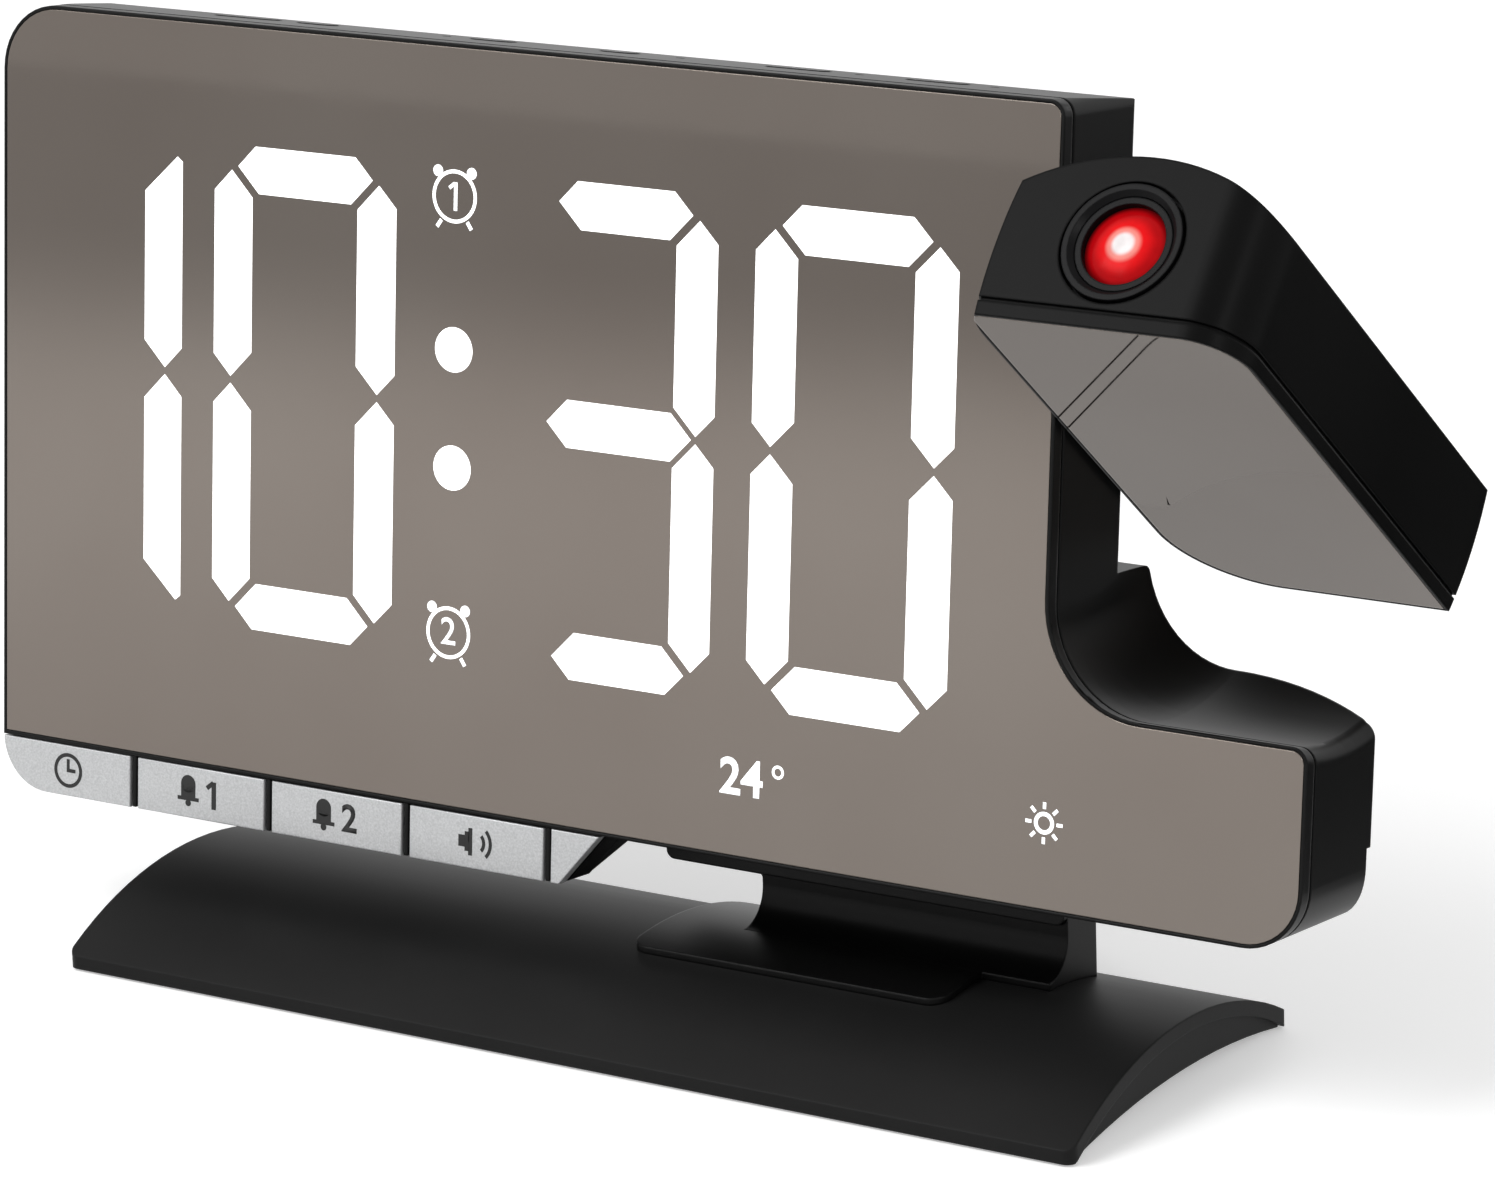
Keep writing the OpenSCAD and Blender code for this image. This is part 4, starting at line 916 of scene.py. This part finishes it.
def flush_cap(node, body):
    shape = copied(node, clock_to_world)
    bmesh.ops.dissolve_limit(
        shape, angle_limit=math.radians(1), verts=shape.verts[:], edges=shape.edges[:]
    )
    centre = Vector((LEFT + STRIP_ROUND, STRIP_LOW + STRIP_ROUND))
    corner = STRIP_ROUND - RIM
    slant_low = max(v.co.x for v in shape.verts if v.co.z < STRIP_LOW + RIM + NEAR)
    slant_high = max(v.co.x for v in shape.verts)
    for vert in shape.verts:
        spoke = Vector((vert.co.x, vert.co.z)) - centre
        if spoke.x < 0 and spoke.y < 0 and abs(spoke.length - corner) < 1.2 * NEAR:
            spoke *= STRIP_ROUND / corner
            vert.co.x, vert.co.z = centre.x + spoke.x, centre.y + spoke.y
        elif vert.co.x < LEFT + RIM + NEAR:
            vert.co.x = LEFT
        elif vert.co.z < STRIP_LOW + RIM + NEAR:
            vert.co.z = STRIP_LOW
        if node == "strip_end" and vert.co.x > slant_low - NEAR and slant_high > slant_low:
            vert.co.x += END_REACH
    front = [e for e in shape.edges if max(v.co.y for v in e.verts) < CLOSE]
    sharp = [e for e in front if e.calc_face_angle(0) > SHARP]
    bevel(shape, sharp, 0.12 * MM, clamp_overlap=True)
    move(shape, clock_to_world)
    cap = mesh_object(node + "_cap", shape, key_paint, body)
    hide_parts(node)
    return cap


for number in "1234":
    flush_cap("front_key_" + number, "front_key_" + number + "_body")
flush_cap("strip_end", "clock")
print("caps reach down to %.1f mm" % (STRIP_LOW / MM))

# %% Frame cut back behind the caps
KEY_PITCH = 21.5 * MM
KEY_POCKET = 1.65 * MM
FIRST_KEY = LEFT + 0.4 * MM
HALF_GAP = 0.45 * MM  # half of the space between two keys
BAR_BETWEEN = 0.6 * MM


def trimmed_frame():
    shape = copied("front_frame", Matrix.Identity(4))
    frame_piece = mesh_object("front_frame_open", shape, housing_abs, "clock")
    block = bmesh.new()
    low = (LEFT - MM, -MM, STRIP_LOW - 1.5 * MM)
    add_box(block, low, (LEFT + 97 * MM, KEY_POCKET, STRIP_TOP))
    move(block, clock_to_world)
    cutter = new_object("cutter", block)
    cutter_data = cutter.data
    cut = frame_piece.modifiers.new("cut", "BOOLEAN")
    cut.operation, cut.solver, cut.object = "DIFFERENCE", "EXACT", cutter
    bpy.context.view_layer.update()
    solved = frame_piece.evaluated_get(bpy.context.evaluated_depsgraph_get())
    result = bpy.data.meshes.new_from_object(solved)
    frame_piece.modifiers.clear()
    frame_piece.data = result
    bpy.data.objects.remove(cutter)
    bpy.data.meshes.remove(cutter_data)
    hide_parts("front_frame")
    return frame_piece


def key_x(steps):
    """X of the line that is this many keys from the left: at a whole number, a gap's middle."""
    return FIRST_KEY + steps * KEY_PITCH - HALF_GAP


def key_bars():
    shape = bmesh.new()
    for index in range(1, 5):
        left, right = key_x(index) - BAR_BETWEEN / 2, key_x(index) + BAR_BETWEEN / 2
        low = (left, 0.15 * MM, STRIP_LOW + 0.1 * MM)
        add_box(shape, low, (right, KEY_POCKET, STRIP_TOP))
    bevel(shape, shape.edges[:], 0.08 * MM, 1)
    move(shape, clock_to_world)
    bars = mesh_object("key_bars", shape, housing_abs, "clock")


STRIP_END = (-1 * MM, -1 * MM - STRIP_SLANT)
STRIP_DEPTH = (13 * MM, 7 * MM)


def strip_back():
    """The housing behind the strip: deep above, and sloping forward to its lower edge."""
    shape = bmesh.new()
    top, low = STRIP_END
    deep, shallow = STRIP_DEPTH
    inset = 0.05 * MM
    corners = (
        (top, shallow - MM, -inset),
        (top, deep, -inset),
        (low, shallow - 0.02 * MM, STRIP_LOW + inset),
    )
    end = shape.faces.new([shape.verts.new(c) for c in corners])
    for vert in extrude(shape, [end], (0, 0, 0)):
        vert.co.x = LEFT + 5 * MM
    bevel(shape, shape.edges[:], 0.15 * MM)
    move(shape, clock_to_world)
    piece = mesh_object("strip_back", shape, housing_abs, "clock")


open_frame = trimmed_frame()
key_bars()
strip_back()
print("frame faces:", len(open_frame.data.polygons))

# %% [markdown]
# ## Symbols on the keys
#
# Each key has a dark pad-printed symbol: a clock face, two numbered bells and a loudspeaker. They
# move with their keys.

# %% Key symbols
key_ink = dull_solid("ink_pad_print", "#030303", "#060606", 0.6, 1.0, 0.005)
KEY_Z = -4.0 * MM
INK = 0.02 * MM
STROKE = 0.48 * MM


def bell(shape, x, z):
    disc(shape, x, z + 0.75 * MM, 1.15 * MM)
    bar(shape, x, z - 0.1 * MM, 2.3 * MM, 1.7 * MM)
    bar(shape, x, z - 1.2 * MM, 3.4 * MM, 0.5 * MM)
    disc(shape, x, z - 1.75 * MM, 0.45 * MM)


def key_symbol(index):
    shape = bmesh.new()
    x, z = key_x(index + 0.5), KEY_Z
    if index == 0:
        ring(shape, x, z, 2.3 * MM, 1.8 * MM)
        bar(shape, x, z + 0.65 * MM, STROKE, 1.7 * MM)
        bar(shape, x + 0.5 * MM, z, 1.4 * MM, STROKE)
    elif index < 3:
        bell(shape, x - 1.9 * MM, z + 0.3 * MM)
        if index == 1:
            bar(shape, x + 2.2 * MM, z, 0.72 * MM, 3.6 * MM)
            bar(shape, x + 1.6 * MM, z + 1.3 * MM, 1.3 * MM, 0.6 * MM, FLAG_ANGLE)
        else:
            figure(shape, str(index), x + 2.1 * MM, z, 3.5 * MM, 0.1 * MM)
    else:
        bar(shape, x - 2.1 * MM, z, 1.0 * MM, 1.5 * MM)
        bar(shape, x - 1.3 * MM, z, 0.7 * MM, 2.5 * MM)
        bar(shape, x - 0.8 * MM, z, 0.6 * MM, 3.5 * MM)
        for radius in (1.1 * MM, 2.1 * MM):
            outer = radius + STROKE
            ring(shape, x - 0.1 * MM, z, outer, radius, -math.pi / 4, math.pi / 2, 12)
    lay_on_front(shape, INK, 0.004 * MM, clock_to_world)
    number = str(index + 1)
    return mesh_object(
        "key_symbol_" + number, shape, key_ink, "front_key_" + number + "_body"
    )


for index in range(4):
    key_symbol(index)
print("key symbols printed")

# %% [markdown]
# ## Marks on the top and the back
#
# The top face has a row of small caps. Each carries a plain pad-printed sign, and small dots
# stand between them. The top slopes back a little, so a drawing is turned with it before it is
# laid on. The sockets at the back have the usual signs for a low voltage inlet and for an outlet.
# Each screw gets a dark cross: its head is found as a group of vertices that hang together.

# %% Marks on the top
label_ink = dull_solid("ink_pad_print_grey", "#8d8e90", "#9a9b9d", 0.5, 1.0, 0.005)
dot_ink = dull_solid("ink_pad_print_black", "#020202", "#040404", 0.7, 1.0, 0.005)
FACE_TOP = 95 * MM
FRAME_DEPTH = 2.3 * MM
TOP_DRAFT = math.radians(4.5)
TOP_SIGNS = {
    "snooze_bar": (30.2, "long"),
    "top_key_1": (41.2, "dot"),
    "top_key_2": (68, "plus"),
    "top_key_3": (86.8, "minus"),
    "top_key_4": (112.4, "ring"),
    "top_key_5": (131.8, "minus"),
}
TOP_DOTS = (61, 95.6, 121, 139.6)
LEVEL = Matrix.Rotation(-math.pi / 2, 4, "X")
INK_LIFT = 0.006 * MM
LINE = 0.35 * MM


def top_place(x, y, lift):
    """Brings a drawing in X and Z onto the sloping top face at x, y."""
    z = FACE_TOP - (y - FRAME_DEPTH) * math.tan(TOP_DRAFT) + lift
    slope = Matrix.Rotation(-TOP_DRAFT, 4, "X")
    return clock_to_world @ Matrix.Translation((x, y, z)) @ slope @ LEVEL


def key_row_depth():
    """Y of the row of caps, read from the snooze bar's own solid."""
    shape = copied("snooze_bar", clock_to_world)
    top = max(v.co.z for v in shape.verts)
    high = [v.co.y for v in shape.verts if v.co.z > top - 0.5 * MM]
    shape.free()
    return (min(high) + max(high)) / 2


ROW_Y = key_row_depth()


def top_sign(node, x, kind):
    shape = bmesh.new()
    size = 0.8 * MM
    if kind == "long":
        for step in (-1, 0, 1):
            disc(shape, step * 1.6 * MM, 0, 0.32 * MM, segments=20)
    if kind in ("plus", "minus"):
        bar(shape, 0, 0, 2 * size, LINE)
    if kind == "plus":
        for side in (1, -1):
            bar(shape, 0, side * 0.58 * size, LINE, 0.72 * size)
    if kind == "ring":
        ring(shape, 0, 0, size, size - 0.32 * MM, segments=24)
    if kind == "dot":
        disc(shape, 0, 0, 0.5 * MM, segments=20)
    lay_on_front(shape, INK, INK_LIFT, top_place(LEFT + x * MM, ROW_Y, 0.1 * MM))
    sign = mesh_object(node + "_sign", shape, label_ink, node + "_body")


def top_dots():
    shape = bmesh.new()
    for x in TOP_DOTS:
        disc(shape, x * MM, 0, 0.55 * MM, segments=20)
    lay_on_front(shape, INK, INK_LIFT, top_place(LEFT, ROW_Y, 0))
    dots = mesh_object("top_dots", shape, dot_ink, "clock")


for node, (x, kind) in TOP_SIGNS.items():
    top_sign(node, x, kind)
top_dots()
print("row of caps at y = %.1f mm" % (ROW_Y / MM))

# %% Marks and screw drives at the back
REAR_DEPTH = 23.5 * MM
INLET_X, OUTLET_X, SOCKET_Z = -52 * MM, -70 * MM, 15.6 * MM
THIN = 0.26 * MM
ABOUT_FACE = Matrix.Rotation(math.pi, 4, "Z")
CROSS_LONG, CROSS_WIDE, CROSS_ARM = 0.56, 0.13, 0.215  # shares of the screw head's width
CROSS_TURN = math.radians(20)
SCREWS = {
    "case_screws": ("clock", clock_to_world @ ABOUT_FACE),
    "neck_screws": ("clock", clock_to_world @ ABOUT_FACE),
    "door_screw": ("clock", clock_to_world @ ABOUT_FACE),
    "head_screws": ("head", lens_to_world @ ABOUT_FACE),
    "base_screws": ("clock", SHEET),
}


def back_marks():
    shape = bmesh.new()
    z, side_x = SOCKET_Z, INLET_X + 2.4 * MM
    start, sweep = math.radians(40), math.radians(280)
    ring(shape, INLET_X, z, 1.1 * MM, 0.8 * MM, start, sweep, 28)
    disc(shape, INLET_X, z, 0.42 * MM, segments=20)
    bar(shape, INLET_X - 2.4 * MM, z, 1.2 * MM, THIN)
    bar(shape, side_x, z, 1.2 * MM, THIN)
    for side in (1, -1):
        bar(shape, side_x, z + side * 0.37 * MM, THIN, 0.48 * MM)
    for side in (-1, 1):
        bar(shape, OUTLET_X, z + side * 0.9 * MM, 5.2 * MM, THIN)
        bar(shape, OUTLET_X + side * 2.47 * MM, z, THIN, 1.54 * MM)
    bar(shape, OUTLET_X, z - 0.2 * MM, 3.6 * MM, 0.5 * MM)
    place = clock_to_world @ Matrix.Translation((0, REAR_DEPTH, 0)) @ ABOUT_FACE
    lay_on_front(shape, INK, INK_LIFT, place)
    marks = mesh_object("back_marks", shape, label_ink, "clock")


def cross_shape(x, y, z, across):
    """A flat cross of one long and two short bars, for a screw head as wide as across."""
    cross = bmesh.new()
    wide, short = across * CROSS_WIDE, across * CROSS_ARM
    bar(cross, x, z, across * CROSS_LONG, wide, CROSS_TURN)
    angle = CROSS_TURN + math.pi / 2
    for side in (-1, 1):
        reach = side * (wide + short) / 2
        arm_x, arm_z = reach * math.cos(angle), reach * math.sin(angle)
        bar(cross, x + arm_x, z + arm_z, short, wide, angle)
    lay_on_front(cross, INK, INK_LIFT, Matrix.Translation((0, y, 0)))
    return cross


def screw_drives(node, body, place):
    """A dark cross on the head of each screw, drawn in a frame where the heads face -Y."""
    solid = copied(node, place)
    shape = bmesh.new()
    for group in islands(solid):
        low = Vector([min(v.co[k] for v in group) for k in range(3)])
        high = Vector([max(v.co[k] for v in group) for k in range(3)])
        middle = (low + high) / 2
        across = min(high.x - low.x, high.z - low.z)
        cross = cross_shape(middle.x, low.y, middle.z, across)
        data = bpy.data.meshes.new("cross")
        cross.to_mesh(data)
        cross.free()
        shape.from_mesh(data)
        bpy.data.meshes.remove(data)
    solid.free()
    move(shape, place)
    piece = mesh_object(node + "_drives", shape, dot_ink, body)


back_marks()
for node, (body, place) in SCREWS.items():
    screw_drives(node, body, place)
print("marks and screw drives laid on")

# %% [markdown]
# ## Stage and light
#
# A white table runs back out of view. One broad soft light stands in front, to the left and
# above, a narrow one lights the edges at the right, and a weak one behind gives the back some
# shape. The world is an even pale grey that direct rays and reflections see as white.
#
# A studio also holds cards out of view, which only shiny surfaces show. Here two pale cards keep
# the head's mirror even: one lines the round recess beside the head, and one stands before the
# right end of the plate. A black cloth on the floor behind the right end keeps the side faces
# dark.

# %% Floor and world
FLOOR_GLOW = 0.37
WORLD_FILL = 0.5
WHITE = hex_colour("#ffffff")


def seen_directly(tree):
    """1 for rays from the camera, and for those that a gloss or a clear piece sends on."""
    path = add_node(tree, "ShaderNodeLightPath")
    seen = path.outputs["Is Camera Ray"]
    for ray in ("Is Glossy Ray", "Is Transmission Ray"):
        links = {0: seen, 1: path.outputs[ray]}
        either = add_node(tree, "ShaderNodeMath", links=links, operation="MAXIMUM")
        seen = either.outputs["Value"]
    return seen


def add_floor():
    shape = bmesh.new()
    bmesh.ops.create_grid(shape, x_segments=1, y_segments=1, size=3.0)
    material, tree, shader = new_material("table_white_lacquer")
    set_inputs(shader, Base_Color=hex_colour("#ececec"), Roughness=0.8)
    set_inputs(shader, Specular_IOR_Level=0.1, Emission_Color=WHITE)
    glow = spread(tree, seen_directly(tree), 0.0, FLOOR_GLOW)
    tree.links.new(glow, shader.inputs["Emission Strength"])
    new_object("floor", shape, material)


def add_world():
    world = bpy.data.worlds.new("studio")
    bpy.context.scene.world = world
    world.use_nodes = True
    tree = world.node_tree
    tree.nodes.clear()
    dim, bright = [
        add_node(tree, "ShaderNodeBackground", {"Color": WHITE, "Strength": strength})
        for strength in (WORLD_FILL, 1.0)
    ]
    links = {0: seen_directly(tree), 1: dim.outputs["Background"]}
    links[2] = bright.outputs["Background"]
    mix = add_node(tree, "ShaderNodeMixShader", links=links)
    add_node(tree, "ShaderNodeOutputWorld", links={"Surface": mix.outputs["Shader"]})


add_floor()
add_world()
print("floor and world ready")

# %% Cards that only reflections see
CARD_GLOW = 0.76
CLOTH_GLOW = 0.06
CARD_OFF = 0.25 * MM  # how far the card stands off the walls of the recess
RECESS_MIDDLE = Vector((80 * MM, PIVOT_Y, PIVOT_Z))
RECESS_REACH = 41 * MM
RECESS_LEFT, RECESS_RIGHT = 60.3 * MM, 94 * MM
STEP_X, STEP_Y, STEP_Z = (40, 60.9), (16.95, 23.45), 37.75
PLATE_X, PLATE_Y, PLATE_Z = (20, 60.85), -0.3, (30, 94)


def glossy_card(name, shape, strength):
    """A card that only reflections see, and only from its front."""
    material = bpy.data.materials.new("card_white")
    material.use_nodes = True
    tree = material.node_tree
    tree.nodes.clear()
    side = add_node(tree, "ShaderNodeNewGeometry")
    glow = add_node(tree, "ShaderNodeEmission", {"Color": WHITE, "Strength": strength})
    clear = add_node(tree, "ShaderNodeBsdfTransparent")
    links = {0: side.outputs["Backfacing"], 1: glow.outputs["Emission"]}
    links[2] = clear.outputs["BSDF"]
    mix = add_node(tree, "ShaderNodeMixShader", links=links)
    add_node(tree, "ShaderNodeOutputMaterial", links={"Surface": mix.outputs["Shader"]})
    card = new_object(name, shape, material)
    card.visible_camera = card.visible_diffuse = card.visible_shadow = False


def is_recess_wall(face):
    """True for the faces round the head that look at its axis."""
    middle = face.calc_center_median()
    to_axis = RECESS_MIDDLE - middle
    near_axis = math.hypot(to_axis.y, to_axis.z) < RECESS_REACH or face.normal.x > 0.9
    beside_head = RECESS_LEFT < middle.x < RECESS_RIGHT
    return beside_head and near_axis and face.normal.dot(to_axis) > 0


def recess_card():
    """Lines the head's recess with its own walls, copied and set a little off them."""
    shape = bmesh.new()
    for data in (frame["nodes"]["rear_shell"].data, open_frame.data):
        shape.from_mesh(data)
    move(shape, clock_to_world.inverted())
    bmesh.ops.remove_doubles(shape, verts=shape.verts[:], dist=WELD)
    spare = [f for f in shape.faces if not is_recess_wall(f)]
    bmesh.ops.delete(shape, geom=spare, context="FACES")
    shape.normal_update()
    for vert in shape.verts:
        vert.co += vert.normal * CARD_OFF
    (x0, x1), (y0, y1) = STEP_X, STEP_Y
    step = [(x0, y0, STEP_Z), (x1, y0, STEP_Z), (x1, y1, STEP_Z), (x0, y1, STEP_Z)]
    shape.faces.new([shape.verts.new(Vector(c) * MM) for c in step])
    move(shape, clock_to_world)
    glossy_card("recess_card", shape, CARD_GLOW)


def plate_card():
    """Stands before the plate's right end, for what the head's mirror shows of it."""
    shape = bmesh.new()
    (x0, x1), (z0, z1) = PLATE_X, PLATE_Z
    corners = [(x0, PLATE_Y, z0), (x1, PLATE_Y, z0), (x1, PLATE_Y, z1), (x0, PLATE_Y, z1)]
    shape.faces.new([shape.verts.new(Vector(c) * MM) for c in corners])
    move(shape, clock_to_world)
    glossy_card("plate_card", shape, CARD_GLOW)


def floor_flag():
    """The black cloth on the floor behind the right end."""
    shape = bmesh.new()
    place = Matrix.Translation((0.42, 0.37, 0.001)) @ Matrix.Diagonal((0.62, 0.66, 1, 1))
    bmesh.ops.create_grid(shape, x_segments=1, y_segments=1, size=0.5, matrix=place)
    glossy_card("floor_flag", shape, CLOTH_GLOW)


recess_card()
plate_card()
floor_flag()
print("cards ready")

# %% Lamps
# Where each lamp stands, what it points at, its two sides in metres and its watts.
LAMPS = {
    "key": ((-0.5, -0.7, 0.9), (0, 0, 0.05), (0.7, 0.7), 9),
    "edge": ((0.75, -0.35, 0.5), (0.06, 0, 0.06), (0.06, 0.5), 1.5),
    "back": ((-0.45, 0.75, 0.55), (0, 0, 0.08), (0.6, 0.4), 0.8),
}


def add_lamp(name, place, aim, size, power):
    data = bpy.data.lights.new(name, "AREA")
    data.shape = "RECTANGLE"
    data.size, data.size_y = size
    data.energy = power
    lamp = bpy.data.objects.new(name, data)
    bpy.context.scene.collection.objects.link(lamp)
    lamp.location = place
    away = Vector(place) - Vector(aim)
    lamp.rotation_euler = away.to_track_quat("Z", "Y").to_euler()
    return lamp


lamps = {name: add_lamp(name, *setting) for name, setting in LAMPS.items()}
lamps["back"].visible_glossy = False
print("lamps:", ", ".join(lamps))

# %% Bring in json once more
import json
